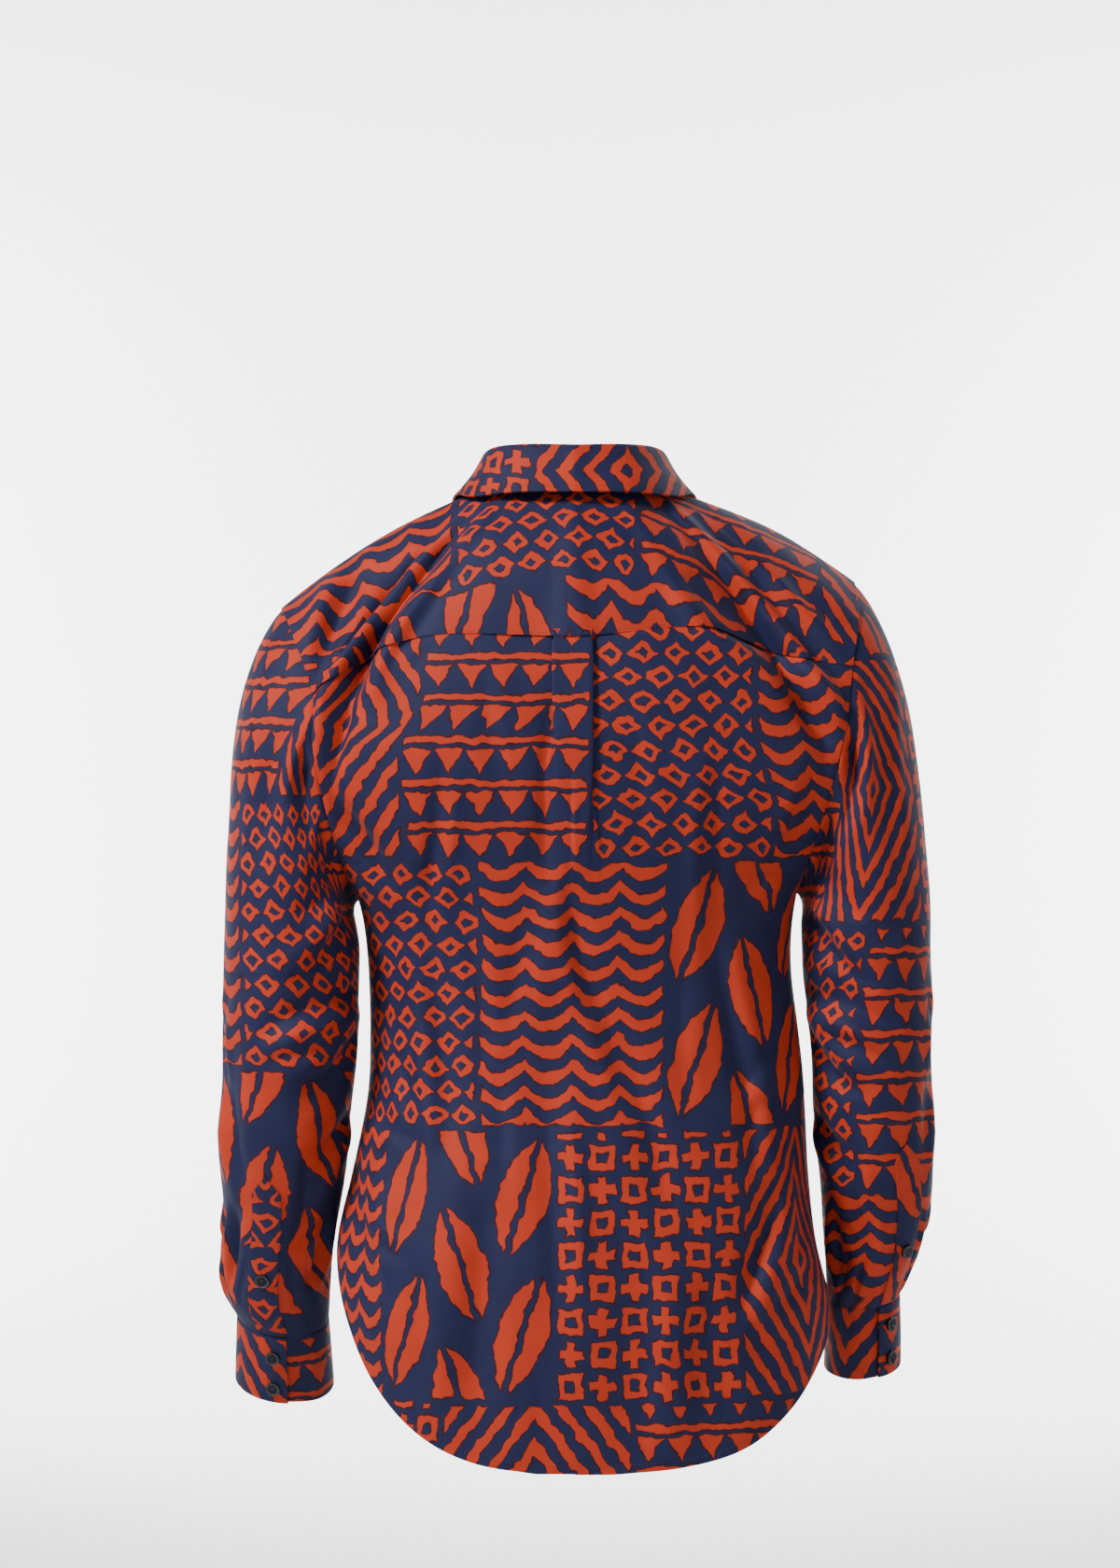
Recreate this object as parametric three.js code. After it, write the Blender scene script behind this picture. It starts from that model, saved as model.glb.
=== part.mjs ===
import * as THREE from 'three';

// A long-sleeved cotton shirt, worn and seen as it hangs on the shoulders, with nothing inside it.
// Millimetres, Z up, the front towards -Y, the wearer's left towards +X. The origin is the middle of the
// neck opening, at the height where collar and shoulders meet.

// Driving sizes
const CLOTH = 1.2; // wall of one layer of cotton poplin with its seam allowances
const BAND = 2.4; // wall of collar, stand and cuffs: two layers with interlining
const SEAM_GAP = 0.3; // space between two pieces at a seam
const LAYER = CLOTH + SEAM_GAP; // from the middle of one layer to the middle of the next one
const SQUARENESS = 0.85; // 1 makes the body's section an ellipse, less makes it squarer
const PLACKET_HALF = 16; // half the width of the front placket strip
const FRONT_LAP = 2.4; // how far the right front runs beneath the left one
const NECK_GAP = 1.4; // how far the stand's lower edge lies above the neckline
const STAND_LAP = 3.2; // how far the stand's right end runs inside its left end
const STAND_END = 14; // the stand's ends pass the centre front by this much
const BUTTON_RADIUS = 5.7;
const BUTTON_THICK = 2.4;
const BUTTON_SIDES = 12;
const BUTTON_OFF = CLOTH / 2 + 0.35; // from the middle of a cloth layer to a button's underside
const FRONT_BUTTONS_Z = [-140, -226, -312, -398, -484, -570];
const STAND_BUTTON_UP = 0.45; // the stand's button, as a share of the stand's height
const SLEEVE_PLACKET_WIDTH = 24;
const SLEEVE_PLACKET_LENGTH = 131;
const SLEEVE_PLACKET_POINT = 14; // length of its pointed top
const STRIP_LIFT = LAYER + 0.5; // a sleeve placket stands this far off, so that its corners clear the facets
const ARMHOLE_POINTS = 24; // round one armhole, and round each sleeve
const ARMHOLE_KEYS = 12; // rows of an armhole table, the first at the shoulder tip
const ARMHOLE_STEP = ARMHOLE_KEYS / ARMHOLE_POINTS;
const BACK_CORNER = 2; // key of an armhole table where the back yoke seam ends
const FRONT_CORNER = 11; // key where the front yoke seam ends
const ARMPIT = 6; // key at the armpit
const NECK_BACK_PART = 0.3; // share of the half neckline that faces the back yoke seam
const NECK_FRONT_CORNER = 4 / 7; // share of the half neckline from centre back to the front yoke seam
const NEAR_CENTRE = 0.05; // where the pleat and the front strip read seam and hem, from the centre (0)
const EDGE_FADE = 7; // creases fade out over 1/7 of a panel's width beside its armhole and side seam
const SIDE_ROWS = 13; // rows of back and fronts below the armpit
const PLAIN_COLUMNS = 9; // columns of the back on either side of its pleat
const PLEAT_EDGE_W = 0.12; // the first plain column past the pleat
const YOKE_STEPS = 6;
const NECK_COLUMNS = 3; // columns of a front along the neckline
const NECK_CORNER_W = 0.42; // where the neckline's corner lies across a front, from the centre (0)
const STRIP_EDGE_W = 0.07; // where the placket strip's edge lies
const FRONT_TOP_FADE = 130; // the neckline's shape fades out of the panel over this length
const CAP_ROWS = 4; // over these rows a sleeve changes from the armhole's own shape to its sections
const CUFF_ROW = 13; // row of a sleeve table at the cuff
const PLACKET_ROW = 7; // row of a sleeve table above its placket
const CUFF_COLUMNS = 34;
const CUFF_STEPS = 3;
const PLACKET_ROWS = 9;
const STAND_STEPS = 2;
const LEAF_END = 0.965; // share of the half stand at which the leaf ends
const FULL = 2 * Math.PI;
const DEGREE = Math.PI / 180;

// Colours
const NAVY = new THREE.MeshStandardMaterial({ color: 0x2a325a, roughness: 0.75, metalness: 0 });
const ORANGE = new THREE.MeshStandardMaterial({ color: 0xcb492b, roughness: 0.75, metalness: 0 });
const DARK = new THREE.MeshStandardMaterial({ color: 0x17161a, roughness: 0.4, metalness: 0 });

// Tables. Every one has named columns, and a smooth curve runs through its rows.

// Depth of the body of the shirt at the centre back and front, and its half width on either side
const TORSO = {
  columns: ['z', 'back', 'front', 'left', 'right'],
  rows: [
    [-40, 78, -56, 190, 190],
    [-62, 90, -67, 190, 190],
    [-100, 104, -90, 190, 190],
    [-150, 117, -111, 189, 189],
    [-200, 119, -120, 188, 187],
    [-262, 112, -121, 182, 183],
    [-300, 104, -117, 173, 175],
    [-328, 99, -114, 166, 171],
    [-372, 95, -110, 163, 171],
    [-416, 93, -108, 162, 176],
    [-475, 98, -109, 164, 182],
    [-533, 108, -111, 176, 185],
    [-588, 116, -114, 188, 191],
    [-643, 119, -115, 187, 203],
    [-700, 116, -115, 182, 200],
    [-770, 111, -113, 174, 190],
  ],
};

// How far a panel turns round the side, in degrees from the centre
const PANEL_TURN = {
  columns: ['z', 'turn'],
  rows: [
    [-60, 50],
    [-165, 50],
    [-225, 55],
    [-275, 70],
    [-310, 90],
    [-340, 90],
  ],
};

// Height of the back yoke seam from the centre (0) to the armhole (1)
const YOKE_SEAM = {
  columns: ['w', 'left', 'right'],
  rows: [
    [0, -112, -112],
    [0.35, -110, -104],
    [0.52, -116, -116],
    [0.75, -132, -128],
    [1, -157, -134],
  ],
};

// Height of the hem from the centre (0) to the side seam (1)
const HEM = {
  columns: ['w', 'backLeft', 'backRight', 'frontLeft', 'frontRight'],
  rows: [
    [0, -761, -761, -740, -740],
    [0.25, -752, -755, -734, -736],
    [0.45, -730, -741, -715, -721],
    [0.63, -694, -712, -683, -696],
    [0.8, -646, -676, -641, -664],
    [1, -594, -640, -594, -640],
  ],
};

// Armholes: once round from the shoulder tip, down the back to the armpit and up the front
const ARMHOLE_LEFT = {
  columns: ['x', 'y', 'z'],
  rows: [
    [233, -6, -87],
    [223, 40, -106],
    [205, 70, -157],
    [204, 84, -198],
    [194, 78, -248],
    [180, 46, -298],
    [171, 0, -317],
    [173, -44, -302],
    [187, -74, -250],
    [197, -84, -196],
    [206, -74, -146],
    [222, -40, -107],
  ],
};
const ARMHOLE_RIGHT = {
  columns: ['x', 'y', 'z'],
  rows: [
    [-222, -6, -66],
    [-223, 38, -95],
    [-217, 66, -134],
    [-211, 82, -180],
    [-198, 78, -234],
    [-182, 46, -290],
    [-175, 0, -311],
    [-177, -44, -295],
    [-190, -74, -244],
    [-202, -84, -186],
    [-211, -72, -132],
    [-221, -38, -93],
  ],
};

// Half of the neckline, of the top of the stand and of the leaf's outer edge, from centre back to centre front
const NECKLINE = {
  columns: ['x', 'y', 'z'],
  rows: [
    [0, 52, 6],
    [41, 44, 7],
    [66, 21, 8],
    [76, -8, 5],
    [72, -36, -10],
    [54, -55, -35],
    [27, -65, -54],
    [0, -68, -62],
  ],
};
const STAND_TOP = {
  columns: ['x', 'y', 'z'],
  rows: [
    [0, 49, 36],
    [38, 40, 37],
    [62, 15, 36],
    [69, -13, 30],
    [63, -37, 14],
    [46, -54, -9],
    [22, -63, -28],
    [0, -65, -34],
  ],
};
const LEAF_EDGE = {
  columns: ['x', 'y', 'z'],
  rows: [
    [0, 76, 3],
    [46, 68, 3],
    [82, 40, 4],
    [99, 2, 6],
    [99, -46, -15],
    [85, -80, -57],
    [58, -101, -104],
  ],
};

// Sleeve sections from the armhole to the cuff: outermost and innermost point, middle and half depth in Y,
// and how far the section leans forward in degrees
const SLEEVE_LEFT = {
  columns: ['row', 'outX', 'outZ', 'inX', 'inZ', 'midY', 'deep', 'lean'],
  rows: [
    [0, 233, -87, 171, -317, 0, 84, 0],
    [1, 247, -109, 175, -321, 1, 84, 0],
    [2, 259, -140, 176, -327, 3, 81, 0],
    [3, 267, -172, 175, -333, 5, 78, 0],
    [4, 272, -215, 173, -342, 8, 74, 0],
    [5, 275, -270, 171, -356, 11, 70, 0],
    [6, 277, -330, 171, -378, 14, 66, 0],
    [7, 278, -392, 172, -410, 15, 61, 3],
    [8, 279, -452, 174, -455, 11, 57, 8],
    [9, 283, -500, 179, -502, 3, 54, 13],
    [10, 280, -556, 186, -556, -14, 50, 18],
    [11, 284, -602, 193, -600, -28, 47, 21],
    [12, 281, -629, 196, -629, -36, 43, 23],
    [13, 270, -649, 198, -655, -42, 36, 24],
  ],
};
const SLEEVE_RIGHT = {
  columns: ['row', 'outX', 'outZ', 'inX', 'inZ', 'midY', 'deep', 'lean'],
  rows: [
    [0, -222, -66, -175, -311, 0, 84, 0],
    [1, -236, -86, -179, -315, 1, 84, 0],
    [2, -250, -115, -181, -321, 3, 81, 0],
    [3, -260, -149, -181, -328, 5, 78, 0],
    [4, -269, -197, -180, -337, 7, 74, 0],
    [5, -277, -257, -180, -352, 9, 70, 0],
    [6, -281, -326, -181, -376, 10, 66, 0],
    [7, -283, -392, -185, -408, 9, 61, 2],
    [8, -284, -453, -188, -456, 4, 57, 4],
    [9, -285, -509, -192, -511, -5, 53, 7],
    [10, -284, -556, -197, -556, -17, 51, 9],
    [11, -276, -592, -200, -594, -28, 50, 11],
    [12, -267, -614, -202, -617, -35, 47, 11],
    [13, -260, -633, -203, -637, -40, 43, 11],
  ],
};

// Cuffs: length along the arm, half width and half depth at the lower edge, where the upper flap ends and how far
// it laps over the lower one, where its buttons lie round it (degrees, 0 outermost, 90 at the back) and down it
const CUFF_LEFT = {
  length: 60, halfWidth: 39, halfDepth: 37.5, flapEnd: 97, lap: 44, buttonsAt: 80, drops: [0.32, 0.78],
};
const CUFF_RIGHT = {
  length: 58, halfWidth: 30, halfDepth: 43.5, flapEnd: 70, lap: 44, buttonsAt: 50, drops: [0.28, 0.76],
};

// Sleeve plackets: where the middle of the strip lies round the sleeve at its top and at the cuff, in degrees
const PLACKET_LEFT = { top: 77, cuff: 81, button: 0.64 };
const PLACKET_RIGHT = { top: 62, cuff: 50, button: 0.66 };

// Box pleat at the centre back, one half of its section at the yoke: x from its middle, height above the back,
// and where that line of cloth lies once the pleat has opened out
const PLEAT = {
  columns: ['x', 'lift', 'opened'],
  rows: [
    [26, 0, 30],
    [8, 0, 23],
    [6.8, 1.1, 21],
    [8, 2.2, 19],
    [14.4, 2.2, 15],
    [15.6, 3.3, 13],
    [14.4, 4.4, 11],
    [7, 4.4, 5.5],
  ],
};
const PLEAT_SEEN = [0, 4, 7]; // rows of its table that the yoke's edge follows
const PLEAT_MIDDLE = 2; // x of its middle at the yoke
const PLEAT_LIFT = 4.4; // height of its face above the back
const PLEAT_OPENS = { left: [-150, -250], right: [-185, -315] }; // heights between which each fold opens

// Creases of the body seen from behind and from the front: from one point to another, half width and depth
const BACK_CREASES = {
  columns: ['x1', 'z1', 'x2', 'z2', 'wide', 'deep'],
  rows: [
    [150, -58, 206, -170, 11, 5],
    [112, -58, 160, -156, 11, 4],
    [-74, -54, -158, -132, 11, 6],
    [-120, -66, -207, -165, 11, 5],
    [57, -128, 34, -290, 12, 5],
    [34, -255, 13, -575, 13, 6],
    [125, -214, 122, -546, 17, 5],
    [-118, -250, -122, -582, 17, 5],
    [-16, -290, -72, -540, 14, 5],
    [160, -340, 154, -520, 12, 3],
    [-154, -330, -162, -510, 13, 4],
    [178, -536, 150, -646, 10, 7],
    [-176, -560, -160, -660, 12, 5],
    [80, -560, 66, -760, 18, 5],
    [-40, -600, -48, -765, 18, 4],
    [-112, -600, -104, -750, 16, 4],
    [196, -212, 158, -320, 12, 5],
    [-198, -212, -166, -312, 12, 5],
  ],
};
const FRONT_CREASES = {
  columns: ['x1', 'z1', 'x2', 'z2', 'wide', 'deep'],
  rows: [
    [194, -206, 128, -290, 13, 6],
    [-196, -206, -130, -280, 13, 6],
    [92, -70, 150, -190, 13, 4],
    [-92, -70, -150, -182, 13, 4],
    [70, -150, 64, -420, 16, 5],
    [-76, -170, -70, -460, 16, 5],
    [118, -300, 112, -600, 17, 6],
    [-122, -300, -114, -620, 17, 6],
    [160, -360, 150, -560, 12, 4],
    [-160, -370, -150, -580, 12, 4],
    [60, -470, 52, -730, 18, 5],
    [-66, -500, -60, -735, 18, 5],
  ],
};

// Creases of a sleeve: degrees round it and height, from and to, half width and depth
const SLEEVE_CREASES = {
  columns: ['a1', 'z1', 'a2', 'z2', 'wide', 'deep'],
  rows: [
    [62, -118, 74, -260, 10, 5],
    [118, -200, 70, -330, 13, 6],
    [140, -240, 96, -420, 13, 5],
    [168, -330, 60, -400, 14, 5],
    [170, -395, 30, -425, 13, 6],
    [160, -440, 70, -480, 12, 5],
    [176, -500, 110, -540, 12, 5],
    [20, -470, 60, -560, 13, 4],
    [110, -560, 60, -600, 11, 4],
    [40, -585, 96, -625, 9, 4],
    [96, -520, 150, -600, 11, 4],
    [240, -200, 290, -330, 14, 6],
    [210, -300, 290, -390, 14, 5],
    [190, -390, 310, -430, 13, 5],
    [200, -470, 300, -540, 13, 5],
    [230, -560, 280, -620, 10, 5],
    [330, -300, 340, -520, 14, 4],
    [320, -560, 350, -620, 10, 4],
  ],
};

// A smooth step from 0 to 1
function ease(t) {
  const inside = Math.min(1, Math.max(0, t));
  return inside * inside * (3 - 2 * inside);
}

function mix(a, b, t) {
  return a + (b - a) * t;
}

// Reads a table's columns at a value of its first column, by a cubic through its rows
function read(table, at) {
  const { rows, columns } = table;
  const last = rows.length - 1;
  const way = Math.sign(rows[last][0] - rows[0][0]);
  let k = 0;
  while (k < last - 1 && (at - rows[k + 1][0]) * way > 0) k += 1;
  const span = rows[k + 1][0] - rows[k][0];
  const t = Math.min(1, Math.max(0, (at - rows[k][0]) / span));
  const slope = (i, c) => {
    const low = Math.max(0, i - 1);
    const high = Math.min(last, i + 1);
    return (rows[high][c] - rows[low][c]) / (rows[high][0] - rows[low][0]);
  };
  const found = {};
  columns.forEach((name, c) => {
    const a = rows[k][c];
    const b = rows[k + 1][c];
    const ma = slope(k, c) * span;
    const mb = slope(k + 1, c) * span;
    const t2 = t * t;
    const t3 = t2 * t;
    found[name] = a * (2 * t3 - 3 * t2 + 1) + ma * (t3 - 2 * t2 + t) + b * (3 * t2 - 2 * t3) + mb * (t3 - t2);
  });
  return found;
}

function curveOf(table, closed = false) {
  const points = table.rows.map(([x, y, z]) => new THREE.Vector3(x, y, z));
  return new THREE.CatmullRomCurve3(points, closed, 'catmullrom', 0.5);
}

// How deep the creases of a table are at a place: troughs are positive
function creaseAt(table, a, b) {
  let depth = 0;
  for (const [a1, b1, a2, b2, wide, deep] of table.rows) {
    const length = Math.hypot(a2 - a1, b2 - b1);
    const along = ((a - a1) * (a2 - a1) + (b - b1) * (b2 - b1)) / (length * length);
    if (along <= 0 || along >= 1) continue;
    const aside = ((a - a1) * (b2 - b1) - (b - b1) * (a2 - a1)) / length / wide;
    depth += deep * Math.exp(-aside * aside) * Math.sin(Math.PI * along) ** 0.7;
  }
  return depth;
}

// Turns a grid of middle points into outward unit normals
function normalsOf(grid, round) {
  const rows = grid.length;
  const cols = grid[0].length;
  return grid.map((line, i) => line.map((_, j) => {
    const left = round ? line[(j + cols - 1) % cols] : line[Math.max(0, j - 1)];
    const right = round ? line[(j + 1) % cols] : line[Math.min(cols - 1, j + 1)];
    const above = grid[Math.max(0, i - 1)][j];
    const below = grid[Math.min(rows - 1, i + 1)][j];
    const across = right.clone().sub(left);
    const down = below.clone().sub(above);
    return across.cross(down).normalize();
  }));
}

// Moves a grid's points along their normals by an amount that a function gives for each row and column
function moved(grid, normals, amount) {
  return grid.map((line, i) => line.map((p, j) => p.clone().addScaledVector(normals[i][j], amount(i, j))));
}

// A closed wall of even thickness about a grid of middle points; a round one closes on itself
function wallMesh(name, grid, thickness, material, round = false) {
  const rows = grid.length;
  const cols = grid[0].length;
  const normals = normalsOf(grid, round);
  const faces = [moved(grid, normals, () => thickness / 2), moved(grid, normals, () => -thickness / 2)];
  const positions = faces.flat(2).flatMap((p) => [p.x, p.y, p.z]);
  const at = (face, i, j) => face * rows * cols + i * cols + (j % cols);
  const index = [];
  const quad = (a, b, c, d) => index.push(a, b, c, a, c, d);
  const lastCol = round ? cols : cols - 1;
  for (let i = 0; i < rows - 1; i += 1) {
    for (let j = 0; j < lastCol; j += 1) {
      quad(at(0, i, j), at(0, i, j + 1), at(0, i + 1, j + 1), at(0, i + 1, j));
      quad(at(1, i, j), at(1, i + 1, j), at(1, i + 1, j + 1), at(1, i, j + 1));
    }
  }
  for (let j = 0; j < lastCol; j += 1) {
    quad(at(0, 0, j + 1), at(0, 0, j), at(1, 0, j), at(1, 0, j + 1));
    quad(at(0, rows - 1, j), at(0, rows - 1, j + 1), at(1, rows - 1, j + 1), at(1, rows - 1, j));
  }
  if (!round) {
    for (let i = 0; i < rows - 1; i += 1) {
      quad(at(0, i, 0), at(0, i + 1, 0), at(1, i + 1, 0), at(1, i, 0));
      quad(at(0, i + 1, cols - 1), at(0, i, cols - 1), at(1, i, cols - 1), at(1, i + 1, cols - 1));
    }
  }
  return meshFrom(name, positions, index, material);
}

// A named mesh whose faces point outwards
function meshFrom(name, positions, index, material) {
  const p = (k) => new THREE.Vector3(positions[3 * k], positions[3 * k + 1], positions[3 * k + 2]);
  let volume = 0;
  for (let k = 0; k < index.length; k += 3) {
    volume += p(index[k]).dot(p(index[k + 1]).cross(p(index[k + 2])));
  }
  if (volume < 0) {
    for (let k = 0; k < index.length; k += 3) [index[k + 1], index[k + 2]] = [index[k + 2], index[k + 1]];
  }
  const geometry = new THREE.BufferGeometry();
  geometry.setAttribute('position', new THREE.Float32BufferAttribute(positions, 3));
  geometry.setIndex(index);
  geometry.computeVertexNormals();
  const mesh = new THREE.Mesh(geometry, material);
  mesh.name = name;
  return mesh;
}

const left = {
  name: 'left', x: 1, armhole: curveOf(ARMHOLE_LEFT, true), sleeve: SLEEVE_LEFT, cuff: CUFF_LEFT,
  placket: PLACKET_LEFT, hem: { back: 'backLeft', front: 'frontLeft' },
};
const right = {
  name: 'right', x: -1, armhole: curveOf(ARMHOLE_RIGHT, true), sleeve: SLEEVE_RIGHT, cuff: CUFF_RIGHT,
  placket: PLACKET_RIGHT, hem: { back: 'backRight', front: 'frontRight' },
};
const neckCurve = curveOf(NECKLINE);
const standCurve = curveOf(STAND_TOP);
const leafCurve = curveOf(LEAF_EDGE);

// A point of the armhole, by its key: 0 at the shoulder tip, 6 at the armpit, 12 at the tip again
function armholePoint(side, key) {
  return side.armhole.getPoint((((key % ARMHOLE_KEYS) + ARMHOLE_KEYS) % ARMHOLE_KEYS) / ARMHOLE_KEYS);
}

// The armhole's place at a height, on its back or its front part, from the armpit up
function armholeAt(side, face, z) {
  let low = ARMPIT;
  let high = face === 'back' ? 0 : ARMHOLE_KEYS;
  for (let k = 0; k < 30; k += 1) {
    const middle = (low + high) / 2;
    if (armholePoint(side, middle).z < z) low = middle;
    else high = middle;
  }
  return armholePoint(side, (low + high) / 2);
}

// A point of the half curve of neckline, stand or leaf on one side; past 1 it runs over the centre front
function halfPoint(curve, side, g) {
  const p = curve.getPoint(g <= 1 ? g : 2 - g);
  p.x *= g <= 1 ? side.x : -side.x;
  return p;
}

// The share of a half curve, near the centre front, at which it has a given x
function shareAtX(curve, x) {
  let g = 1;
  while (curve.getPoint(g).x < x) g -= 0.001;
  return g;
}

// The outer edge of back or front at a height, and how far the panel turns to reach it
function edgeAt(side, face, z) {
  const armpitZ = armholePoint(side, ARMPIT).z;
  const turn = read(PANEL_TURN, z).turn * DEGREE;
  if (z >= armpitZ) return { point: armholeAt(side, face, z), turn };
  return { point: new THREE.Vector3(side.x * read(TORSO, z)[side.name], 0, z), turn: Math.PI / 2 };
}

// A point of back or front: w runs from 0 at the centre to 1 at the armhole or side seam
function panelPoint(side, face, w, z) {
  const { point, turn } = edgeAt(side, face, z);
  const centre = read(TORSO, z)[face];
  const angle = w * turn;
  const x = point.x * (Math.sin(angle) / Math.sin(turn)) ** SQUARENESS;
  const flat = Math.max(0, Math.cos(turn)) ** SQUARENESS;
  const y = mix(point.y, centre, (Math.max(0, Math.cos(angle)) ** SQUARENESS - flat) / (1 - flat));
  return new THREE.Vector3(x, y, z);
}

// The w of a panel whose point lies at a given x
function widthAt(side, face, x, z) {
  const { point, turn } = edgeAt(side, face, z);
  const share = (Math.abs(x) / Math.abs(point.x)) ** (1 / SQUARENESS);
  return Math.asin(share * Math.sin(turn)) / turn;
}

function hemAt(side, face, w) {
  return read(HEM, w)[side.hem[face]];
}

// Rows of a panel as shares of its length: at the armhole's points first, then down the side seam
function panelRows(side, face) {
  const corner = face === 'back' ? BACK_CORNER : FRONT_CORNER;
  const step = face === 'back' ? ARMHOLE_STEP : -ARMHOLE_STEP;
  const topZ = armholePoint(side, corner).z;
  const hemZ = hemAt(side, face, 1);
  const armpitZ = armholePoint(side, ARMPIT).z;
  const heights = [];
  for (let key = corner; Math.abs(key - ARMPIT) > ARMHOLE_STEP / 2; key += step) {
    heights.push(armholePoint(side, key).z);
  }
  for (let k = 0; k <= SIDE_ROWS; k += 1) heights.push(mix(armpitZ, hemZ, k / SIDE_ROWS));
  return heights.map((z) => (topZ - z) / (topZ - hemZ));
}

// The pleat's state at a height: 0 folded as at the yoke, 1 opened out
function pleatOpen(side, z) {
  const [from, to] = PLEAT_OPENS[side.name];
  return Math.min(1, Math.max(0, (z - from) / (to - from)));
}

// Columns of the back: plain ones by w, and those of the pleat by their row in its table
function backColumns(side) {
  const columns = [];
  for (let k = 0; k < PLAIN_COLUMNS; k += 1) {
    columns.push({ side, w: mix(1, PLEAT_EDGE_W, k / (PLAIN_COLUMNS - 0.4)) });
  }
  PLEAT.rows.forEach((_, k) => columns.push({ side, pleat: k }));
  return columns;
}

// How much of a pleat's height above the back is left: it goes once the fold is half open
function liftLeft(open) {
  return 1 - ease(open * 2 - 1);
}

// A point of the back before its creases, and its height above it
function backPoint({ side, w, pleat }, v) {
  const seamW = w ?? NEAR_CENTRE;
  const z = mix(read(YOKE_SEAM, seamW)[side.name], hemAt(side, 'back', seamW), v);
  if (pleat === undefined) return { base: panelPoint(side, 'back', w, z), lift: 0 };
  const [x, lift, opened] = PLEAT.rows[pleat];
  const open = pleatOpen(side, z);
  const across = PLEAT_MIDDLE * (1 - v) + side.x * mix(x, opened, ease(open / 0.75));
  const own = across > 0 ? left : right;
  const base = panelPoint(own, 'back', widthAt(own, 'back', across, z), z);
  base.x = across;
  return { base, lift: lift * liftLeft(open) };
}

// The back: one grid from the left armhole to the right one, the pleat between
const centreColumn = { side: left, centre: true };
const backLine = [...backColumns(left), centreColumn, ...backColumns(right).reverse()];
const rowsLeft = panelRows(left, 'back');
const rowsRight = panelRows(right, 'back');
const backBase = rowsLeft.map((_, i) => backLine.map((column) => {
  const v = column.side === left ? rowsLeft[i] : rowsRight[i];
  if (!column.centre) return backPoint(column, v);
  const z = mix(read(YOKE_SEAM, 0).left, read(HEM, 0).backLeft, (rowsLeft[i] + rowsRight[i]) / 2);
  const open = (pleatOpen(left, z) + pleatOpen(right, z)) / 2;
  const base = panelPoint(left, 'back', 0, z);
  base.x = PLEAT_MIDDLE * (1 - v);
  return { base, lift: PLEAT_LIFT * liftLeft(open) };
}));
const OUT_BACK = new THREE.Vector3(0, 1, 0);
const backGrid = backBase.map((line) => line.map(({ base, lift }, j) => {
  const column = backLine[j];
  const nearEdge = column.w === undefined ? 1 : ease((1 - column.w) * EDGE_FADE);
  const depth = creaseAt(BACK_CREASES, base.x, base.z) * nearEdge;
  const sideways = column.w === undefined ? 0 : column.w ** 3;
  const out = OUT_BACK.clone().add(new THREE.Vector3(column.side.x * sideways, 0, 0)).normalize();
  return base.clone().addScaledVector(out, lift - depth);
}));

// The yoke: from the neckline (t 0) to the back seam and the armholes (t 1)
function yokeColumns(side) {
  const columns = [];
  const tipSide = (ARMHOLE_KEYS - FRONT_CORNER + BACK_CORNER) / ARMHOLE_STEP;
  for (let k = 0; k < tipSide; k += 1) {
    const key = FRONT_CORNER + k * ARMHOLE_STEP;
    columns.push({ side, g: mix(NECK_FRONT_CORNER, NECK_BACK_PART, k / tipSide), outer: armholePoint(side, key) });
  }
  return columns;
}
const backEdge = backGrid[0].map((p, j) => ({ side: backLine[j].side, p }));
const flatEdge = backEdge.map(({ side, p }, j) => {
  const { lift } = backBase[0][j];
  return { side, outer: p.clone().addScaledVector(OUT_BACK, -Math.max(0, lift - PLEAT_LIFT / 2)) };
}).filter((_, j) => backLine[j].pleat === undefined || PLEAT_SEEN.includes(backLine[j].pleat));
const halfEdge = (flatEdge.length - 1) / 2;
const yokeLine = [
  ...yokeColumns(left),
  ...flatEdge.map(({ side, outer }, j) => ({ side, outer, g: (NECK_BACK_PART * Math.abs(j - halfEdge)) / halfEdge })),
  ...yokeColumns(right).reverse(),
];

// How the yoke swells between neckline and edge: backwards at the back, upwards on the shoulders
function yokeSwell(g) {
  const shoulder = ease(g / 0.35);
  const front = ease((g - 0.35) / 0.25);
  return new THREE.Vector3(0, 11 * (1 - shoulder) - 5 * front, 2 + 12 * shoulder - 5 * front);
}

function yokePoint(column, t) {
  const neck = halfPoint(neckCurve, column.side, column.g);
  const p = neck.clone().lerp(column.outer, t).addScaledVector(yokeSwell(column.g), 4 * t * (1 - t));
  const behind = ease((p.y - 8) / 30);
  const depth = creaseAt(BACK_CREASES, p.x, p.z) * (1 - t) * ease(t * 3) * behind;
  return p.addScaledVector(new THREE.Vector3(0, 0.75, 0.66), -depth);
}
const yokeGrid = [];
for (let i = 0; i <= YOKE_STEPS; i += 1) {
  yokeGrid.push(yokeLine.map((column) => yokePoint(column, i / YOKE_STEPS)));
}

// Edges drawn in from a seam, so that neighbours stay apart
function drawIn(grid, { top = 0, bottom = 0, start = 0, end = 0 }) {
  const rows = grid.length;
  const cols = grid[0].length;
  const pull = (p, towards, by) => p.add(towards.clone().sub(p).setLength(by));
  if (top) for (let j = 0; j < cols; j += 1) pull(grid[0][j], grid[1][j], top);
  if (bottom) for (let j = 0; j < cols; j += 1) pull(grid[rows - 1][j], grid[rows - 2][j], bottom);
  if (start) for (let i = 0; i < rows; i += 1) pull(grid[i][0], grid[i][1], start);
  if (end) for (let i = 0; i < rows; i += 1) pull(grid[i][cols - 1], grid[i][cols - 2], end);
  return grid;
}

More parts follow.
